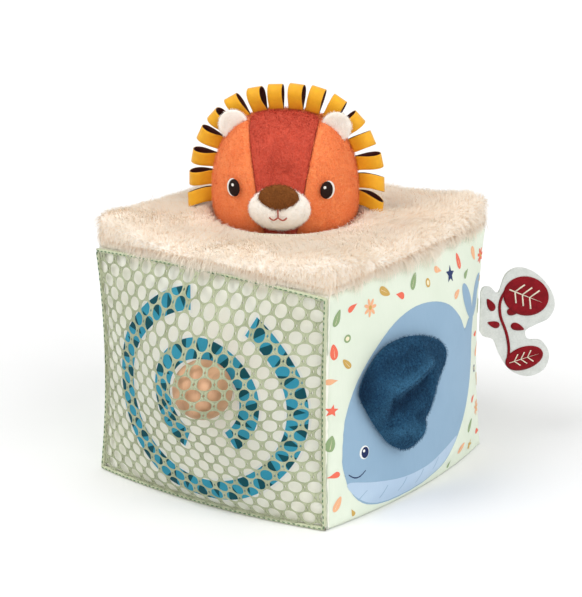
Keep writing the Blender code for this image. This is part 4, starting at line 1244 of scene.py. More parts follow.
def drawFur():
    backing = plushMaterial("furBacking", "fff9f0", "ffeedd", fur["tip"], sheen=0.4, scale=420, bump=0.5)
    mesh = furBacking()
    base = linkPiece("furTop", mesh, [backing])
    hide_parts("fur_top")
    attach(base, "cube")

    pile = pileMaterial("furPile", fur["root"], fur["body"], fur["tip"], sheen=0.8, through=0.42,
            specular=0.1)
    curlPile = pileMaterial("furCurl", "dcbb9d", fur["curl"], "d9b392", through=0.3)
    random = np.random.default_rng(5)
    reach = block["panelHeight"] + 0.2 * mm

    def outerSide(places, outward):
        r = np.hypot(places[:, 0] - block["pocketAcross"], places[:, 1] - block["pocketDepth"])
        return (outward[:, 2] > -0.25) & (places[:, 2] > reach) & ((r > fur["rim"] - 1.6
                * mm) | (outward[:, 2] > 0.3))

    roots, outward = sampleMesh(mesh, int(fur["hairs"] * 1.9), random, outerSide)
    if len(roots) > fur["hairs"]:
        roots, outward = roots[:fur["hairs"]], outward[:fur["hairs"]]
    print("fur has", len(roots), "hairs")
    away = roots - (block["pocketAcross"], block["pocketDepth"], 0)
    r = np.hypot(away[:, 0], away[:, 1])
    radial = np.stack([away[:, 0] / r, away[:, 1] / r, np.zeros(len(r))], -1)
    toEdge = smoothStep(70 * mm, 82 * mm, np.abs(roots[:, :2]).max(1))[:, None]
    level = np.clip(outward[:, 2:3], 0, 1)
    x, y = roots[:, 0], roots[:, 1]
    flow = np.stack([np.sin(y / (17 * mm) + 1.3 * np.sin(x / (23 * mm))),
            np.sin(x / (14 * mm) + 1.7 * np.sin(y / (19 * mm)) + 2), 0 * x], -1)
    toHead = smoothStep(60 * mm, 48 * mm, r)[:, None]
    wanted = radial * (0.5 * (1 - toHead) * (1 - 0.6 * toEdge) - 0.3 * toHead) * level + flow * 0.75 * level
    wanted += np.array([0, 0, -1.1]) * (1 - level) ** 0.7 + random.normal(size=roots.shape) * 0.42
    wanted += np.array([-0.35, 0.6, 0]) * level * (1 - 0.8 * toEdge)
    lean = along(wanted, outward)
    size = np.linalg.norm(lean, axis=1, keepdims=True)
    lean *= np.clip(size, 1.0, 1.65) / np.maximum(size, 1e-6)
    patch = 0.5 + 0.5 * np.sin(x / (9 * mm) + 2 * np.sin(y / (12 * mm))) * np.sin(y / (10 * mm) + 1.1)
    length = fur["hairLength"] * (0.78 + 0.3 * random.random(len(r)) + 0.12 * patch)
    length *= 1 - 0.2 * (1 - level[:, 0])
    length *= 1 - 0.25 * toHead[:, 0]
    tone = np.clip(0.35 * patch + 0.65 * random.random(len(r)), 0, 1)
    order = np.arange(len(r)) % 3
    for k in range(3):
        chosen = order == k
        hairs = hairMesh(f"furPile{k + 1}", roots[chosen], outward[chosen], lean[chosen], length[chosen],
                         fur["hairWidth"], random, steps=3, tuft=0.3, tuftSize=fur["tuftSize"], wobble=0.1,
                         drop=0.04, softness=0.2, tuftShade=0.3, tone=tone[chosen])
        piece = linkPiece(f"furPile{k + 1}", hairs, [pile])
        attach(piece, "cube")
    # Hairs that hang over the net's and the panels' top edge
    def lowWall(places, outward):
        share = np.abs(places[:, :2]).min(1) / (block["side"] / 2)
        above = places[:, 2] - reach - archAt(share, block["panelHeight"])
        return (outward[:, 2] < 0.5) & (above > 0) & (above < fur["fringeFrom"]) & outerSide(places, outward)

    low, lowOut = sampleMesh(mesh, 260000, random, lowWall)
    low, lowOut = low[:fur["fringe"]], lowOut[:fur["fringe"]]
    hang = along(np.array([0, 0, -1.5]) + random.normal(size=low.shape) * 0.35, lowOut)
    corner = smoothStep(0.75, 1.0, np.abs(low[:, :2]).min(1) / (block["side"] / 2))
    uneven = 0.75 + 0.12 * corner + 0.35 * np.sin(low[:, 0] / (7 * mm) + 1.3
            * np.sin(low[:, 1] / (11 * mm))) * np.sin(low[:, 1] / (6 * mm) + 0.4)
    # The fringe's hairs take a lighter tone than the rest: painted light against the shade under the fur's overhang
    hairs = hairMesh("furFringe", low, lowOut, hang, fur["fringeLength"]
            * (0.6 + 0.5 * random.random(len(low))) * uneven,
                     fur["hairWidth"], random, steps=3, tuft=0.3, tuftSize=fur["tuftSize"], wobble=0.12, softness=0.2,
                     tuftShade=0.12, tone=0.5 + 0.5 * random.random(len(low)))
    piece = linkPiece("furFringe", hairs, [pile])
    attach(piece, "cube")
    print("fringe has", len(low), "hairs")
    few = random.choice(len(r), fur["curls"], replace=False)
    hairs = hairMesh("furCurls", roots[few], outward[few], lean[few] * 1.15, length[few] * 1.12, 0.22 * mm,
            random,
                     steps=5, wobble=0.35, drop=0.05, tone=random.random(len(few)))
    piece = linkPiece("furCurls", hairs, [curlPile])
    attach(piece, "cube")


drawFur()
print("fur top is made")

# Lion: head panels, face, ears and mane. Places are measured from the head's widest level, face towards -Y
lion = {
    "halfWidth": 45 * mm,
    "halfDepth": 38 * mm,
    "rise": 49.5 * mm,
    "drop": 40 * mm,
    "power": 2.4,
    "height": 173.965 * mm,
    "turn": 30,
    "maneSeam": 2.5 * mm,
    "gussetTop": 22.2 * mm,
    "gussetBrow": 15.0 * mm,
    "browHeight": 9 * mm,
    "seamDent": 1.5 * mm,
    "pileLength": 1.6 * mm,
    "pileWidth": 0.17 * mm,
    "skinInset": 1.0 * mm,
    "orange": "fd9153",
    "orangeShade": "f0713a",
    "orangeTip": "ffab7a",
    "brick": "d5513b",
    "brickShade": "b83e2e",
    "brickTip": "ec7964",
    "cream": "fffbf2",
    "creamShade": "fff0df",
    "brown": "8a5226",
    "brownShade": "6b3b17",
    "brownTip": "ab6d38",
}
face = {
    "muzzleWide": 18.5 * mm,
    "muzzleTall": 13 * mm,
    "muzzleBulge": 7.5 * mm,
    "muzzleSeat": 8 * mm,
    "muzzleHeight": -2.5 * mm,
    "noseWide": 12 * mm,
    "noseTall": 8.4 * mm,
    "noseBulge": 2.8 * mm,
    "noseSeat": 5 * mm,
    "noseHeight": 5.2 * mm,
    "earRadius": 9.0 * mm,
    "earThick": 3.4 * mm,
    "earAcross": 31 * mm,
    "earDepth": -6.7 * mm,
    "earHeight": 40.5 * mm,
    "eyeWide": 3.6 * mm,
    "eyeTall": 5.2 * mm,
    "eyeAcross": 27.5 * mm,
    "eyeHeight": 8.5 * mm,
    "eyeColour": "2a1510",
    "mouthColour": "b5503c",
}
lionPlace = Matrix.Translation((block["pocketAcross"], block["pocketDepth"],
        lion["height"])) @ Matrix.Rotation(math.radians(lion["turn"]), 4, "Z")


def headShare(points):
    # 1 on the head's skin, less inside it
    x, y, z = np.abs(points[..., 0]), np.abs(points[..., 1]), points[..., 2]
    tall = np.where(z > 0, lion["rise"], lion["drop"])
    p = lion["power"]
    return (x / lion["halfWidth"]) ** p + (y / lion["halfDepth"]) ** p + (np.abs(z) / tall) ** p


def headOutward(points):
    tall = np.where(points[..., 2] > 0, lion["rise"], lion["drop"])
    sizes = np.stack([np.full(tall.shape, lion["halfWidth"]), np.full(tall.shape, lion["halfDepth"]),
            tall], -1)
    p = lion["power"]
    return unit(np.sign(points) * (np.abs(points) / sizes) ** (p - 1) / sizes)


def faceDepth(x, z):
    tall = np.where(z > 0, lion["rise"], lion["drop"])
    rest = 1 - (np.abs(x) / lion["halfWidth"]) ** lion["power"] - (np.abs(z) / tall) ** lion["power"]
    return lion["halfDepth"] * np.maximum(rest, 0) ** (1 / lion["power"])


def gussetPlane(side):
    fall = lion["rise"] - lion["browHeight"]
    tilt = math.atan2(lion["gussetTop"] - lion["gussetBrow"], fall)
    return Vector((side * lion["gussetBrow"], 0, lion["browHeight"])), Vector((side * math.cos(tilt), 0,
            -math.sin(tilt)))


def placeOnLion(mesh):
    mesh.transform(lionPlace)
    return mesh


def addPile(name, mesh, count, length, width, material, random, keep=None, droop=0.8, tuft=0.3,
        tuftSize=2.5 * mm,
            toneAt=None):
    # Short pile over a piece that is already in place, and it rides with it
    roots, outward = sampleMesh(mesh, count, random, keep)
    wanted = np.array([0, 0, -droop]) + random.normal(size=roots.shape) * 0.35
    lean = along(wanted, outward)
    x, y, z = roots.T
    patch = 0.5 + 0.5 * np.sin(x / (4 * mm) + 2 * np.sin(z / (5 * mm))) * np.sin(y / (4.5 * mm) + z
            / (3.7 * mm))
    tone = np.clip(0.4 * patch + 0.6 * random.random(len(roots)), 0, 1)
    # Where toneAt is given, each hair's tone follows its place; the flap passes its painted fold shade and highlight
    if toneAt:
        tone *= 1.6 * toneAt(roots) ** 1.5
    hairs = hairMesh(name, roots, outward, lean, length * (0.75 + 0.5 * random.random(len(roots))), width,
            random,
                     steps=2, tuft=tuft, tuftSize=tuftSize, wobble=0.12, softness=0.25, tuftShade=0.3, tone=tone)
    return linkPiece(name, hairs, [material])


def headPanel(name, node, planes, materials, hairs, random, dents=()):
    # A sewn panel, closed at its seams, with the skin drawn in along them
    bm = bmesh.new()
    bmesh.ops.create_uvsphere(bm, u_segments=88, v_segments=60, radius=1)
    for vert in bm.verts:
        x, y, z = vert.co
        tall = lion["rise"] if z > 0 else lion["drop"]
        total = (abs(x) / lion["halfWidth"]) ** lion["power"] + (abs(y) / lion["halfDepth"]) ** lion["power"]
        total += (abs(z) / tall) ** lion["power"]
        vert.co *= total ** (-1 / lion["power"])
    for point, normal in planes:
        for off in (6, 4, 2.6, 1.6, 0.8, 0.15):
            geometry = bm.verts[:] + bm.edges[:] + bm.faces[:]
            bmesh.ops.bisect_plane(bm, geom=geometry, plane_co=point - normal * off * mm, plane_no=normal,
                                   clear_outer=off < 0.2)
    for vert in bm.verts:
        out = Vector(headOutward(np.array(vert.co)))
        move = -lion["skinInset"]
        for point, normal in planes:
            away = max(0.0, (point - vert.co).dot(normal))
            move -= lion["seamDent"] * math.exp(-(away / (1.9 * mm)) ** 1.2)
        x, y, z = vert.co
        move += 0.5 * mm * math.sin(x / (11 * mm) + 1) * math.sin(z / (12 * mm))
        for dentX, dentZ, wide, deep in dents:
            if y < 0:
                move -= deep * mm * math.exp(-((x - dentX * mm) ** 2 + (z - dentZ * mm) ** 2)
                        / (wide * mm) ** 2)
        vert.co += out * move
    skins = set(bm.faces)
    bmesh.ops.holes_fill(bm, edges=[e for e in bm.edges if e.is_boundary], sides=0)
    for face_ in bm.faces:
        face_.material_index = 0 if face_ in skins else 1
    bmesh.ops.recalc_face_normals(bm, faces=bm.faces)
    skin = bm.copy()
    bmesh.ops.delete(skin, geom=[f for f in skin.faces if f.material_index == 1], context="FACES")
    skinMesh = placeOnLion(meshOf(name + "Skin", skin))
    mesh = meshOf(name, bm)
    mesh.shade_smooth()
    piece = linkPiece(name, placeOnLion(mesh), [materials[0], materials[0]])
    pile = addPile(name + "Pile", skinMesh, hairs, lion["pileLength"], lion["pileWidth"], materials[1],
            random)
    bpy.data.meshes.remove(skinMesh)
    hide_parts(*node)
    for each in (piece, pile):
        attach(each, "lion")
    return piece


def ellipsoidMesh(name, sizes, middle, keepOut, shape=None):
    # A stuffed oval, left open where it is sewn against the head
    rows, columns = 40, 64
    points = roundPoints(rows, columns)
    if shape:
        points = shape(points)
    mesh = tidyFaces(meshFrom(name, points * np.array(sizes) + np.array(middle),
            [gridFaces(rows, columns, closed=True)]))
    bm = bmesh.new()
    bm.from_mesh(mesh)
    inside = [v for v in bm.verts if headShare(np.array(v.co)) < keepOut]
    bmesh.ops.delete(bm, geom=inside, context="VERTS")
    bm.to_mesh(mesh)
    bm.free()
    mesh.shade_smooth()
    return mesh


def facePatch(points, lift):
    # A small flat shape laid on the face, from its outline across and up
    bm = cutFace(points, 0.7 * mm)
    middle = np.mean(np.array(points), 0)
    reach = np.max(np.linalg.norm(np.array(points) - middle, axis=1))
    flat = np.array([v.co[:2] for v in bm.verts])
    depth = faceDepth(flat[:, 0], flat[:, 1])
    dome = 1 - (np.linalg.norm(flat - middle, axis=1) / reach) ** 2
    for vert, (x, z), d, rise in zip(bm.verts, flat, depth, dome):
        vert.co = (x, -d - lift[0] - lift[1] * max(rise, 0), z)
    for each in bm.faces:
        each.normal_update()
        if each.normal.y > 0:
            each.normal_flip()
    return meshOf("eye", bm)


def drawHead():
    # Each plush has a painted speckle of shade and highlight; each pile a painted shade at the roots and a painted
    # highlight at the tips
    orange = plushMaterial("orangePlush", lion["orange"], lion["orangeShade"], lion["orangeTip"])
    orangePile = pileMaterial("orangePile", lion["orangeShade"], lion["orange"], lion["orangeTip"])
    brick = plushMaterial("brickPlush", lion["brick"], lion["brickShade"], lion["brickTip"])
    brickPile = pileMaterial("brickPile", lion["brickShade"], lion["brick"], lion["brickTip"])
    cream = plushMaterial("creamPlush", lion["cream"], lion["creamShade"], "ffffff", sheen=0.1, bump=0.3)
    creamPile = pileMaterial("creamPile", lion["creamShade"], lion["cream"], "fffdf8")
    brown = plushMaterial("brownPlush", lion["brown"], lion["brownShade"], lion["brownTip"])
    brownPile = pileMaterial("brownPile", lion["brownShade"], lion["brown"], lion["brownTip"], through=0.2)
    random = np.random.default_rng(21)
    back, ahead = Vector((0, 1, 0)), Vector((0, -1, 0))
    seam = Vector((0, lion["maneSeam"], 0))
    front = (seam, back)
    right, left = gussetPlane(1), gussetPlane(-1)
    headPanel("headBack", ["head_back", "head_stuffing"], [(seam, ahead)], [orange, orangePile], 12000,
            random)
    headPanel("headGusset", ["head_gusset"], [front, right, left], [brick, brickPile], 9000, random,
              dents=[(-6, 19, 5, 1.6), (6, 19, 5, 1.6), (0, 18, 11, 1.3), (0, 7, 8, -1.2), (0, 33, 11, -0.8)])
    headPanel("cheekLeft", ["cheek_left"], [front, (left[0], -left[1])], [orange, orangePile], 9000, random)
    headPanel("cheekRight", ["cheek_right"], [front, (right[0], -right[1])], [orange, orangePile], 9000,
            random)

    # Muzzle, nose and ears
    middle = -(float(faceDepth(0, face["muzzleHeight"])) + (face["muzzleBulge"] - face["muzzleSeat"]) / 2)
    deep = (face["muzzleBulge"] + face["muzzleSeat"]) / 2
    muzzle = ellipsoidMesh("muzzlePlush", (face["muzzleWide"], deep, face["muzzleTall"]), (0, middle, face["muzzleHeight"]), 0.9)
    high = (face["noseHeight"] - face["muzzleHeight"]) / face["muzzleTall"]
    tip = -(float(faceDepth(0, face["muzzleHeight"])) + face["muzzleBulge"] * math.sqrt(1 - high**2))
    tip = min(tip, -float(faceDepth(0, face["noseHeight"])))
    noseDeep = (face["noseBulge"] + face["noseSeat"]) / 2

    def noseShape(points):
        # Wider at the top and rounded to a point below
        z = points[:, 2]
        return points * np.stack([1 - 0.42 * np.clip(-z, 0, 1), 1 + 0 * z, 1 + 0 * z], -1)

    nose = ellipsoidMesh("nosePlush", (face["noseWide"], noseDeep, face["noseTall"]),
                         (0, tip - face["noseBulge"] + noseDeep, face["noseHeight"]), 0.9, shape=noseShape)
    pieces = [("muzzlePlush", muzzle, "muzzle", cream, creamPile, 2600, 1.2 * mm),
              ("nosePlush", nose, "nose", brown, brownPile, 3500, 1.2 * mm)]
    for name, side in (("Left", -1), ("Right", 1)):
        def earShape(points):
            # Front of the ear dished, its rim rounded
            reach = np.hypot(points[:, 0], points[:, 2])
            dish = np.where(points[:, 1] < 0, 0.75 * (1 - reach**2), 0)
            return np.stack([points[:, 0], points[:, 1] + dish, points[:, 2]], -1)

        ear = ellipsoidMesh("ear" + name, (face["earRadius"], face["earThick"], face["earRadius"]),
                            (side * face["earAcross"], face["earDepth"],
                                    face["earHeight"]), 0.93, shape=earShape)
        pieces.append(("ear" + name, ear, "ear_" + name.lower(), cream, creamPile, 1500, 1.3 * mm))
    for name, mesh, node, skin, pile, hairs, length in pieces:
        piece = linkPiece(name, placeOnLion(mesh), [skin])
        cover = addPile(name + "Pile", mesh, hairs, length, lion["pileWidth"], pile, random)
        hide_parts(node)
        for each in (piece, cover):
            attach(each, "lion")

    # Embroidered eyes and mouth
    dark = threadMaterial("eyeThread", face["eyeColour"], "180b08", 2400, 0.5, 0.15 * mm, "Z", roughness=0.5,
                          specular=0.1)
    white = newMaterial("whiteThread", "f6f1ea", roughness=0.5, sheen=0.1)
    satin = waveOn(white, clothPlace(white, source="object"), "Z", 2400)
    setColour(white, mixOn(white, satin, "fbf8f3", "ddd6cc"))
    addBump(white, satin, 0.4, 0.15 * mm)
    line = threadMaterial("mouthThread", face["mouthColour"], "8f3626", 1800, 0.5, 0.1 * mm, roughness=0.5)
    turn = roundTurn(36)
    for name, side in (("Left", -1), ("Right", 1)):
        x, z = side * face["eyeAcross"], face["eyeHeight"]
        wide, tall = face["eyeWide"], face["eyeTall"]
        outer = [(x + side * 0.9 * mm + (wide + 0.1 * mm) * math.cos(t),
                z + (tall + 0.2 * mm) * math.sin(t)) for t in turn]
        inner = [(x + wide * math.cos(t), z + tall * math.sin(t)) for t in turn]
        shine = [(x - 0.9 * mm + 0.8 * mm * math.cos(t), z + 1.9 * mm + 0.9 * mm
                * math.sin(t)) for t in turn[::2]]
        layers = [(1, facePatch(outer, (0.6 * mm, 0.7 * mm))), (0, facePatch(inner, (0.9 * mm, 1.1 * mm))),
                  (1, facePatch(shine, (2.0 * mm, 0.1 * mm)))]
        eye = linkPiece("eye" + name, placeOnLion(joined("eye" + name, layers)), [dark, white])
        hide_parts("eye_" + name.lower())
        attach(eye, "lion")

    def muzzleDepth(x, z):
        rest = 1 - (x / face["muzzleWide"]) ** 2 - ((z - face["muzzleHeight"]) / face["muzzleTall"]) ** 2
        return -middle + deep * np.sqrt(np.maximum(rest, 0))

    stem = np.array([(0, -0.5), (0, -3.0), (0, -5.5)]) * mm
    curve = np.linspace(-1, 1, 15)
    smile = np.stack([5.2 * curve, -5.4 - 1.9 * np.sin(math.pi * np.abs(curve)) * np.abs(curve) ** 0.2],
            -1) * mm
    layers = []
    for route in (stem, smile):
        x, z = route.T
        path = np.stack([x, -(muzzleDepth(x, z) + 1.5 * mm), z], -1)
        layers.append((0, tubeMesh("mouth", path, 0.42 * mm, 8)))
    mouth = linkPiece("mouth", placeOnLion(joined("mouth", layers)), [line])
    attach(mouth, "lion")


drawHead()
print("lion's head is made")

mane = {
    "width": 9 * mm,
    "thickness": 0.7 * mm,
    "length": 15.5 * mm,
    "depth": 7 * mm,
    "space": 1.8 * mm,
    "sewnIn": 1.2 * mm,
    "start": -6.5,
    "end": 186.5,
    "samples": 200,
    "outside": "f6b416",
    "outsideShade": "e29f0c",
    "inside": "57201a",
    # Twist about its own length, in degrees, and droop of each loop, from the lion's right round to its left
    "twist": [-8, 8, 10, 12, 15, 12, 14, 15, 16, 12, 14, -10, 10, -12, 8, -8],
    "droop": [0.30, 0.10, 0.05, 0, 0, 0, 0, 0, 0, 0, 0, 0.05, 0.10, 0.05, 0.22, 0.42],
}


def manePlaces():
    # Evenly spaced places round the head's outline, as in the CAD: across, up and outward angle
    places, length = [], [0.0]
    p = lion["power"]
    for k in range(mane["samples"] + 1):
        a = math.radians(mane["start"] + (mane["end"] - mane["start"]) * k / mane["samples"])
        tall = lion["rise"] if math.sin(a) > 0 else lion["drop"]
        total = (abs(math.cos(a)) / lion["halfWidth"]) ** p + (abs(math.sin(a)) / tall) ** p
        x, z = total ** (-1 / p) * math.cos(a), total ** (-1 / p) * math.sin(a)
        slopeX = math.copysign(abs(x) ** (p - 1) / lion["halfWidth"] ** p, x)
        slopeZ = math.copysign(abs(z) ** (p - 1) / tall**p, z)
        if places:
            length.append(length[-1] + math.dist((x, z), places[-1][:2]))
        places.append((x, z, math.atan2(slopeZ, slopeX)))
    count = int(length[-1] / (mane["width"] + mane["space"]))
    wanted = [length[-1] * k / count for k in range(count + 1)]
    return [places[min(range(len(length)), key=lambda i: abs(length[i] - w))] for w in wanted]


def ribbonStrip(line, side, offLow, offHigh, width):
    # A flat ribbon between two offsets from a line of points, as a closed mesh with cloth coordinates
    tangent = unit(np.gradient(line, axis=0))
    out = unit(np.cross(tangent, side))
    across = np.array([-1, -0.96, -0.5, 0, 0.5, 0.96, 1]) * width / 2
    bulge = np.array([0, 1, 1, 1, 1, 1, 0])
    high = offHigh * bulge + (offLow + offHigh) / 2 * (1 - bulge)
    low = offLow * bulge + (offLow + offHigh) / 2 * (1 - bulge)
    top = line[:, None] + side[:, None] * across[None, :, None] + out[:, None] * high[None, :, None]
    bottom = line[:, None] + side[:, None] * across[None, :, None] + out[:, None] * low[None, :, None]
    length = np.concatenate([[0], np.cumsum(np.linalg.norm(np.diff(line, axis=0), axis=1))])
    cloth = np.stack(np.broadcast_arrays(length[:, None], across[None, :]), -1)
    return tidyFaces(slabMesh("ribbon", top, bottom, cloth))


def drawMane():
    outside = newMaterial("ribbonOutside", mane["outside"], roughness=0.5, sheen=0.25, specular=0.4)
    place = clothPlace(outside)
    ribs = waveOn(outside, place, "X", 1500)
    tone = rampOn(outside, noiseOn(outside, place, 150, 2), 0.3, 0.7)
    body = mixOn(outside, partly(outside, tone, 0.5), mane["outside"], mane["outsideShade"])
    setColour(outside, mixOn(outside, partly(outside, ribs, 0.22), body, mane["outsideShade"]))
    addBump(outside, ribs, 0.6, 0.18 * mm)
    inside = threadMaterial("ribbonInside", mane["inside"], "40150f", 1500, 0.6, 0.18 * mm, "X", "cloth",
                            roughness=0.6, sheen=0.2)
    random = np.random.default_rng(8)
    places = manePlaces()
    count = len(places)
    for number, (x, z, angle) in enumerate(reversed(places), 1):
        a = np.linspace(-math.pi, math.pi, 41)
        k = (number - 1) * 15 // max(count - 1, 1)
        wide = mane["depth"] / 2 * (0.8 + 0.35 * random.random())
        reach = mane["length"] * (0.94 + 0.1 * random.random())
        line = np.stack([reach * np.cos(a / 2), wide * np.sin(-a) - mane["thickness"] * a / math.pi,
                0 * a], -1)
        line[:, 1] += 0.5 * mm * random.normal() * (line[:, 0] / reach) ** 2
        out = Vector((math.cos(angle), 0, math.sin(angle)))
        back = Vector((0, 1, 0))
        axes = Matrix((out, back, out.cross(back))).transposed().to_4x4()
        # Held straight at the seam, twisted more and more towards the tip
        turn = math.radians(mane["twist"][k] + random.normal() * 3) * smoothStep(-0.15, 0.55,
                line[:, 0] / reach)
        side = np.stack([0 * a, np.sin(turn), np.cos(turn)], -1)
        y = line[:, 1].copy()
        line[:, 1], line[:, 2] = y * np.cos(turn), -y * np.sin(turn)
        line[:, 2] += 0.35 * mm * random.normal() * (line[:, 0] / reach) ** 2
        seat = Matrix.Translation(Vector((x, lion["maneSeam"], z)) - out * mane["sewnIn"]) @ axes
        line, side = turned(line, seat), side @ np.array(axes)[:3, :3].T
        away = np.linalg.norm(line - np.array((x, lion["maneSeam"], z)), axis=1)
        line[:, 2] -= mane["droop"][k] * away**2 / mane["length"]
        half = mane["thickness"] / 2
        outer = ribbonStrip(line, side, 0.02 * mm, half, mane["width"])
        inner = ribbonStrip(line, side, -half, -0.02 * mm, mane["width"] * 0.985)
        middle = line.mean(0)
        if np.mean(np.linalg.norm(meshPoints(outer) - middle,
                axis=1)) < np.mean(np.linalg.norm(meshPoints(inner) - middle, axis=1)):
            outer, inner = inner, outer
        name = f"maneLoop{number:02d}"
        loop = linkPiece(name, placeOnLion(joined(name, [(0, outer), (1, inner)])), [outside, inside])
        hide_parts(f"mane_loop_{number:02d}")
        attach(loop, "lion")


drawMane()
print("mane is made")

# What is hidden in the pocket: the lion's body, the pocket's lining and the folded tether
pocket = {
    "bodyRadius": 30 * mm,
    "bodyBottom": 75.965 * mm,
    "bodyRound": 9 * mm,
    "floor": 51.965 * mm,
    "radius": 33 * mm,
    "thickness": 1.5 * mm,
    "rimClearance": 3.5 * mm,
    "tetherWidth": 12 * mm,
    "tetherThickness": 0.8 * mm,
    "tetherFold": 9 * mm,
    "lining": "efe6d2",
}


def latheMesh(name, profile, columns=96, ripple=None):
    # Turns a closed profile of (radius, height) points round the pocket's middle
    profile = np.array(profile)
    turn = roundTurn(columns)
    r = np.broadcast_to(profile[:, None, 0], (len(profile), columns))
    z = np.broadcast_to(profile[:, None, 1], (len(profile), columns))
    if ripple:
        r = r + ripple(turn[None, :], z) * (r > 1 * mm)
    points = np.stack([r * np.cos(turn), r * np.sin(turn), z], -1)
    cloth = np.stack(np.broadcast_arrays(turn[None, :] * 33 * mm,
            np.cumsum(np.r_[0, np.linalg.norm(np.diff(profile, axis=0), axis=1)])[:, None]), -1)
    points = points.reshape(-1, 3) + (block["pocketAcross"], block["pocketDepth"], 0)
    mesh = meshFrom(name, points, [gridFaces(len(profile), columns, closed=True)])
    setCloth(mesh, cloth.reshape(-1, 2))
    return tidyFaces(mesh)


def drawPocket():
    headBottom = lion["height"] - lion["drop"]
    plush = bpy.data.materials["orangePlush"]
    low, radius, bend = pocket["bodyBottom"], pocket["bodyRadius"] - 0.3 * mm, pocket["bodyRound"]
    turns = np.radians(np.linspace(0, 90, 8))
    profile = [(0, headBottom + 1.5 * mm), (radius * 0.6, headBottom + 2.2 * mm),
            (radius - 2 * mm, headBottom + 1.0 * mm)]
    profile += [(radius - 0.5 * mm * (1 - t), z) for t, z in zip(np.linspace(0, 1, 12),
            np.linspace(headBottom - 1 * mm, low + bend, 12))]
    profile += [(radius - bend * (1 - math.cos(t)), low + bend * (1 - math.sin(t))) for t in turns]
    profile += [(radius * 0.3, low), (0, low)]
    mesh = latheMesh("lionBody", profile, ripple=lambda turn,
            z: 0.35 * mm * np.sin(7 * turn + z / (9 * mm)) * np.sin(z / (7 * mm)))
    body = linkPiece("lionBody", mesh, [plush])
    pile = addPile("lionBodyPile", mesh, 9000, 2.0 * mm, 0.3 * mm, bpy.data.materials["orangePile"],
                   np.random.default_rng(31), keep=lambda places, outward: np.abs(outward[:, 2]) < 0.8)
    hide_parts("lion_body")
    for each in (body, pile):
        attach(each, "lion")

    # Lining: floor, round wall and a mouth that follows the head
    lining = cottonMaterial("pocketCotton", pocket["lining"], "ddd0b6")
    inner = [(0, pocket["floor"]), (pocket["radius"] * 0.5, pocket["floor"])]
    inner += [(pocket["radius"], z) for z in np.linspace(pocket["floor"] + 1.5 * mm, headBottom - 1 * mm, 16)]
    for below in np.linspace(lion["drop"] - 1.5 * mm, 16 * mm, 10):
        share = below / lion["drop"]
        wide = lion["halfWidth"] * (1 - share ** lion["power"]) ** (1 / lion["power"])
        inner.append((max(pocket["radius"], wide + pocket["rimClearance"] - 1.5 * mm),
                lion["height"] - below))
    outer = [(r + (1.1 * mm if r > 1 * mm else 0), z - (1.1 * mm if z < pocket["floor"] + 1
            * mm else 0)) for r, z in inner[::-1]]
    ripple = lambda turn, z: 0.25 * mm * np.sin(9 * turn + z / (11 * mm)) * np.sin((z - pocket["floor"])
            / (26 * mm)) ** 2
    mesh = latheMesh("pocketLining", inner + outer, ripple=ripple)
    piece = linkPiece("pocketLining", mesh, [lining])
    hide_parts("pocket_liner")
    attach(piece, "cube")

    # Tether, folded to and fro
    room = pocket["bodyBottom"] - pocket["floor"] - 0.6 * mm - pocket["tetherThickness"]
    t = np.linspace(0, 4.5, 91)
    x = pocket["tetherFold"] * np.cos(math.pi * t) * (1 - 0.12 * np.cos(2 * math.pi * t))
    z = pocket["floor"] + 0.7 * mm + room * (t + 0.07 * np.sin(2 * math.pi * t)) / 4.5
    line = np.stack([x + block["pocketAcross"], 0 * x + block["pocketDepth"], z], -1)
    side = np.tile([[0.0, 1.0, 0.0]], (len(line), 1))
    mesh = ribbonStrip(line, side, -pocket["tetherThickness"] / 2, pocket["tetherThickness"] / 2, pocket["tetherWidth"])
    tether = linkPiece("tetherRibbon", mesh, [bpy.data.materials["ribbonOutside"]])
    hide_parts("tether_ribbon")
    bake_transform(tether)


drawPocket()
print("pocket is made")

# Plush flap over the printed side
flap = {
    "halfWidth": 38 * mm,
    "halfHeight": 36 * mm,
    "across": -28 * mm,
    "height": 72 * mm,
    "puff": 13 * mm,
    "dish": 4 * mm,
    "liningStart": 0.6 * mm,
    "liningThickness": 1.6 * mm,
    "frontStart": 3.0 * mm,
    "frontInset": 1.4 * mm,
    "liningInset": 3.2 * mm,
    "rightTaper": 5.5 * mm,
    "hairs": 16000,
    "hairLength": 1.7 * mm,
    "hairWidth": 0.17 * mm,
    "swell": 1.6,
    "mostMove": 2.5 * mm,
    "blue": "194161",
    "blueShade": "0a2441",
    "blueTip": "457c9f",
    # Painted shade colour for the flap's hollows and its side turned from the light
    "bluePaintedShade": "061a33",
    "lining": "27506f",
}
flapOutline = [(-1.0, 0.24), (-0.86, -0.13), (-0.68, -0.45), (-0.46, -0.75), (-0.24, -0.93), (-0.07, -0.985),
               (0.05, -0.88), (0.22, -0.57), (0.49, -0.2), (0.75, 0.1), (0.97, 0.42), (0.84, 0.68),
               (0.43, 0.9), (-0.05, 1.0), (-0.52, 0.94), (-0.84, 0.64)]

# Ridges and hollows of the flap, in mm from its middle: from where to where, how wide and how high
flapRidges = [(-19, 11, 8, 18, 5, 4.0), (-27, 12, -31, -8, 5, 2.8), (-30, -10, -20, -26, 4.5, 2.2),
              (-15, -17, -3, -21, 7, 3.0), (-14, -2, 6, 8, 7, -3.4), (-24, 24, 0, 28, 5, -1.8),
              (-21, 2, -22, -12, 3, -2.2), (10, -14, 15, 4, 4, 1.4), (-2, -12, 10, -16, 3, -1.2)]


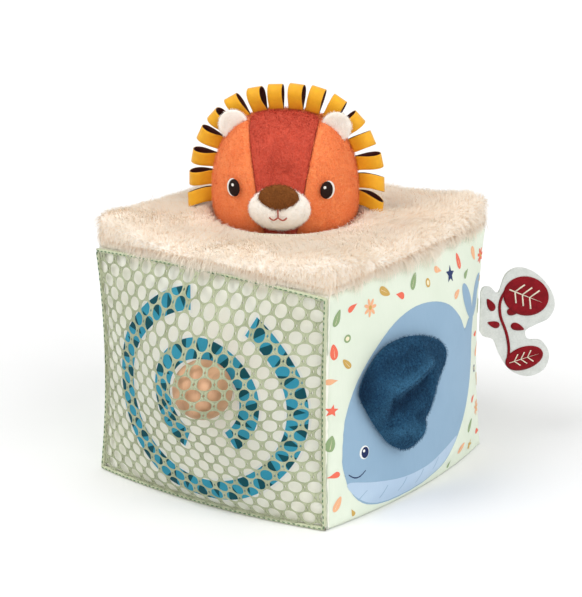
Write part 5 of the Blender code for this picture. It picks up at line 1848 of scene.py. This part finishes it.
def flapLayer(name, start, thickness, relief, rings=30, around=132, shrink=0.0):
    # One layer of the flap as a closed form on the cloth side; relief adds folds to its front
    rim = np.array(smoothOutline(flapOutline, around))
    share = np.sin(np.linspace(0, math.pi / 2, rings))[:, None, None]
    wide, tall = flap["halfWidth"] - shrink, flap["halfHeight"] - shrink
    flat = rim[None] * share * (wide, tall) + (flap["across"], flap["height"])
    y, z = flat[..., 0], flat[..., 1]
    share = np.broadcast_to(share[..., 0], y.shape)
    thick = thickness(share)
    front = clothReach(y, z) + start + thick + relief(y, z, share)
    back = clothReach(y, z) + start + 0 * y
    front[-1] = back[-1] = clothReach(y[-1], z[-1]) + start + thick[-1] / 2
    points = np.concatenate([np.stack([front, y, z], -1).reshape(-1, 3),
            np.stack([back, y, z], -1)[:-1].reshape(-1, 3)])
    count = rings * around
    last = np.arange(around) + (rings - 2) * around + count
    edge = np.arange(around) + (rings - 1) * around
    seamRow = np.stack([last, np.roll(last, -1), np.roll(edge, -1), edge], -1)
    faces = [gridFaces(rings, around, closed=True), gridFaces(rings - 1, around, count, closed=True,
            flip=True), seamRow[:, ::-1]]
    mesh = meshFrom(name, points, faces)
    cloth = np.concatenate([flat.reshape(-1, 2), flat[:-1].reshape(-1, 2)])
    setCloth(mesh, cloth)
    mesh = tidyFaces(mesh)
    # Painted shade and highlight of the folds, for the plush's colour and its hairs
    pointValues(mesh, "fold", paintedFoldLight(meshPoints(mesh)))
    return mesh


def paintedFoldLight(places):
    # Painted shade and highlight of the flap: 0 in the deepest hollow and 1 on the highest ridge
    # Painted shade on the left side, which turns away from the light
    paintedSideShade = smoothStep(-24 * mm, -37 * mm, places[:, 1] - flap["across"])
    return np.clip(0.55 + foldHeight(places[:, 1], places[:, 2]) / (8 * mm) - 0.45 * paintedSideShade, 0, 1)


def foldHeight(y, z):
    # Ridges and hollows of the flap's front, in metres
    py, pz = (y - flap["across"]) / mm, (z - flap["height"]) / mm
    relief = 0.35 * mm * np.sin(py / 3.1 + 2 * np.sin(pz / 5)) * np.sin(pz / 4.3)
    for y0, z0, y1, z1, wide, deep in flapRidges:
        d = np.array([y1 - y0, z1 - z0], float)
        t = np.clip(((py - y0) * d[0] + (pz - z0) * d[1]) / (d @ d), 0, 1)
        off = np.hypot(py - y0 - t * d[0], pz - z0 - t * d[1])
        relief = relief + deep * mm * np.exp(-(off / wide) ** 2)
    return relief


def flapFolds(y, z, share):
    # The folds, thinner towards the right edge, and its double rim
    py, pz = (y - flap["across"]) / mm, (z - flap["height"]) / mm
    relief = foldHeight(y, z) - flap["rightTaper"] * smoothStep(-4, 30, py + 0.25 * pz)
    relief -= 1.6 * mm * np.exp(-(((share - 0.93) / 0.025) ** 2)) * smoothStep(4, 14, py + 0.3 * pz)
    return relief * (1 - share**8)


def swellFlap(piece):
    # Cloth simulation on a copy: slight pressure, no gravity, and no point moves further than the cap
    before = meshPoints(piece.data)
    scene = bpy.context.scene
    cloth = piece.modifiers.new("swell", "CLOTH")
    settings = cloth.settings
    settings.quality = 6
    settings.mass = 0.15
    settings.tension_stiffness = 12
    settings.compression_stiffness = 12
    settings.bending_stiffness = 0.4
    settings.use_pressure = True
    settings.uniform_pressure_force = flap["swell"]
    settings.effector_weights.gravity = 0
    held = piece.vertex_groups.new(name="seam")
    reach = before[:, 0] - clothReach(before[:, 1], before[:, 2])
    held.add([int(i) for i in np.nonzero(reach < flap["frontStart"] + 0.8 * mm)[0]], 1.0, "REPLACE")
    settings.vertex_group_mass = "seam"
    for k in range(1, 15):
        scene.frame_set(k)
    graph = bpy.context.evaluated_depsgraph_get()
    after = meshPoints(bpy.data.meshes.new_from_object(piece.evaluated_get(graph)))
    piece.modifiers.clear()
    piece.vertex_groups.clear()
    scene.frame_set(1)
    if len(after) != len(before) or not np.isfinite(after).all():
        return
    move = after - before
    size = np.linalg.norm(move, axis=1, keepdims=True)
    move *= np.minimum(1, flap["mostMove"] / np.maximum(size, 1e-9))
    piece.data.vertices.foreach_set("co", (before + move).astype(np.float32).ravel())
    piece.data.update()
    print("flap swelled by up to", round(float(size.max()) / mm, 1), "mm")


def drawFlap():
    plush = plushMaterial("bluePlush", flap["blue"], flap["blueShade"], flap["blueTip"], sheen=0.6,
            sheenRoughness=0.3)
    # Painted light on the plush: painted shade in the hollows and on the side turned from the light, and a painted
    # highlight of the tip colour on the ridges
    paintedFoldLevel = valueOf(plush, "fold")
    plushColour = shaderOf(plush).inputs["Base Color"].links[0].from_socket
    dark = mixOn(plush, rampOn(plush, paintedFoldLevel, 0.0, 0.5), flap["bluePaintedShade"], plushColour)
    setColour(plush, mixOn(plush, partly(plush, rampOn(plush, paintedFoldLevel, 0.55, 1.1), 0.6), dark, flap["blueTip"]))
    pileLook = pileMaterial("bluePile", flap["blueShade"], flap["blue"], flap["blueTip"], sheen=0.5,
            through=0.1, specular=0.2)
    cotton = cottonMaterial("flapCotton", flap["lining"], "1d4060", source="object")
    front = flapLayer("flapFront", flap["frontStart"],
                      lambda s: flap["puff"] * np.sqrt(1.015 - s**3) - flap["dish"] * (1 - s
                              * s) ** 2, flapFolds,
                      shrink=flap["frontInset"])
    piece = linkPiece("flapFront", front, [plush])
    swellFlap(piece)
    random = np.random.default_rng(17)

    def outerFace(places, outward):
        return places[:, 0] - clothReach(places[:, 1], places[:, 2]) > flap["frontStart"] + 0.3 * mm

    # Its hairs take the same painted fold shade and highlight in their tone
    cover = addPile("flapPile", piece.data, flap["hairs"], flap["hairLength"], flap["hairWidth"], pileLook,
            random,
                    keep=outerFace, droop=0.9, tuft=0.35, tuftSize=3 * mm, toneAt=paintedFoldLight)
    lining = flapLayer("flapLining", flap["liningStart"], lambda s: flap["liningThickness"] + 0 * s,
                       lambda y, z, s: 0.12 * mm * np.sin(y / (3 * mm)) * np.sin(z / (4 * mm)),
                       shrink=flap["liningInset"])
    under = linkPiece("flapLining", lining, [cotton])
    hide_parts("flap_front")
    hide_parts("flap_lining", "flap_crinkle_film")
    for each in (piece, cover, under):
        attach(each, "flap")


drawFlap()
print("flap is made")

# Felt tag in the corner seam
tag = {
    "reach": 48 * mm,
    "tall": 72 * mm,
    "bottom": 44 * mm,
    "felt": 1.6 * mm,
    "seam": 83.57 * mm,
    "bend": 1.5 * mm,
    "border": "dfe1dc",
    "cream": "f3ead6",
    "red": "8f1620",
    "redShade": "751019",
}
tagOutline = [(0.0, 0.44), (0.0, 0.8), (0.12, 0.84), (0.24, 0.78), (0.33, 0.94), (0.50, 1.0), (0.72, 0.95),
              (0.91, 0.82), (1.0, 0.66), (0.93, 0.53), (0.75, 0.47), (0.62, 0.42), (0.66, 0.34), (0.84, 0.32),
              (0.95, 0.19), (0.88, 0.05), (0.66, 0.0), (0.42, 0.07), (0.27, 0.22), (0.18, 0.36)]
tagLeaves = [(0.61, 0.74, 0.31, 0.175, -24), (0.61, 0.17, 0.26, 0.105, 14)]
tagStem = [(17.5, 59.5), (13.0, 51), (13.2, 41), (17.2, 30), (19.2, 19), (18.2, 9.5)]
tagBuds = [(22.5, 44.0, 5.2, 2.2, 12), (24.5, 33.0, 4.6, 2.0, -22), (6.5, 49.0, 4.6, 2.0, 120),
        (8.8, 36.0, 4.2, 1.8, 160)]


def tagPoint(reach, up, off):
    # A point of the tag, off its middle sheet; it bends a little towards the rear
    bow = tag["bend"] * np.sin(reach / tag["reach"] * 2.2 + up / tag["tall"] * 1.7 - 0.6) * np.clip(reach
            / (12 * mm), 0, 1)
    c = math.sqrt(0.5)
    ahead = reach - tag["felt"] / 2
    return np.stack([tag["seam"] + ahead * c - (bow + off) * c, tag["seam"] + ahead * c + (bow + off) * c,
            tag["bottom"] + up], -1)


def tagLayer(outline, low, high, grain=2.0 * mm):
    # A flat shape of the tag between two distances off its middle sheet
    bm = cutFace(outline, grain)
    bmesh.ops.triangulate(bm, faces=bm.faces)
    deep = bmesh.ops.extrude_face_region(bm, geom=bm.faces[:])["geom"]
    for vert in (g for g in deep if isinstance(g, bmesh.types.BMVert)):
        vert.co.z = 1
    cloth = bm.loops.layers.uv.new("cloth")
    for each in bm.faces:
        for loop in each.loops:
            loop[cloth].uv = loop.vert.co[:2]
    flat = np.array([v.co[:] for v in bm.verts])
    placed = tagPoint(flat[:, 0], flat[:, 1], low + (high - low) * flat[:, 2])
    for vert, place in zip(bm.verts, placed):
        vert.co = place
    bmesh.ops.recalc_face_normals(bm, faces=bm.faces)
    return meshOf("tagLayer", bm)


def drawTag():
    def felt(name, colour, shade):
        material = newMaterial(name, colour, roughness=0.92, sheen=0.3, specular=0.15)
        place = clothPlace(material)
        fibres = noiseOn(material, place, 900, 4, 0.75)
        matted = noiseOn(material, place, 180, 3)
        both = mathOn(material, "MULTIPLY", mathOn(material, "ADD", fibres, matted), 0.5)
        setColour(material, mixOn(material, rampOn(material, both, 0.35, 0.65), colour, shade))
        addBump(material, fibres, 0.5, 0.3 * mm)
        return material

    materials = [felt("paleFelt", tag["border"], "cdd0ca"), felt("redFelt", tag["red"], tag["redShade"]),
                 felt("creamFelt", tag["cream"], "e4d9c0")]
    outline = [(max(0.0, x) * tag["reach"], z * tag["tall"]) for x, z in smoothOutline(tagOutline, 80)]
    half = tag["felt"] / 2
    sheetMesh = tagLayer(outline, -half, half)
    piece = linkPiece("tagFelt", sheetMesh, materials[:1])
    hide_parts("tag_felt")
    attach(piece, "tag")
    turn = roundTurn(40)
    for number, (reach, up, long, tall, tilt) in enumerate(tagLeaves, 1):
        c, s = math.cos(math.radians(tilt)), math.sin(math.radians(tilt))

        def leafShape(points):
            return [(reach * tag["reach"] + (a * long * tag["reach"] * c - b * tall * tag["tall"] * s),
                     up * tag["tall"] + (a * long * tag["reach"] * s + b * tall * tag["tall"] * c)) for a,
                             b in points]

        rim = leafShape([(math.cos(t), math.sin(t)) for t in turn])
        vein = leafShape([(-0.8, -0.035), (0.78, 0.0), (-0.8, 0.035)])
        ribs = [leafShape([(q, 0), (q + 0.26, w * 0.5), (q + 0.2, w * 0.53), (q - 0.06, 0)])
                for q in (-0.5, -0.15, 0.2) for w in (-1, 1)]
        for face_, way in (("Front", -1), ("Back", 1)):
            low, high = half * way, (half + 0.5 * mm) * way
            layers = [(0, tagLayer(rim, low, high))]
            for shape in [vein] + ribs:
                layers.append((1, tagLayer(shape, high * 0.97, high + 0.18 * mm * way, 4 * mm)))
            name = f"tagLeaf{face_}{number}"
            leaf = linkPiece(name, joined(name, layers), [materials[1], materials[2]])
            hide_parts(f"tag_leaf_{face_.lower()}_{number}")
            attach(leaf, "tag")
    # Stem and buds between the leaves
    route = np.array(smoothOutline(tagStem + tagStem[-2:0:-1], 40)[:21]) * mm
    normal = unit(np.gradient(route, axis=0))[:, ::-1] * (1, -1) * 0.9 * mm
    shapes = [list(map(tuple, np.concatenate([route + normal, (route - normal)[::-1]])))]
    for x, z, long, wide, tilt in tagBuds:
        c, s = math.cos(math.radians(tilt)), math.sin(math.radians(tilt))
        oval = [(long * math.cos(t), wide * math.sin(t) * (1.1 - 0.5 * math.cos(t))) for t in turn[::2]]
        shapes.append([((x + a * c - b * s) * mm, (z + a * s + b * c) * mm) for a, b in oval])
    for face_, way in (("Front", -1), ("Back", 1)):
        layers = [(None, tagLayer(shape, half * 0.95 * way, (half + 0.4 * mm) * way)) for shape in shapes]
        stem = linkPiece(f"tagStem{face_}", joined(f"tagStem{face_}", layers), materials[1:2])
        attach(stem, "tag")


drawTag()
print("tag is made")
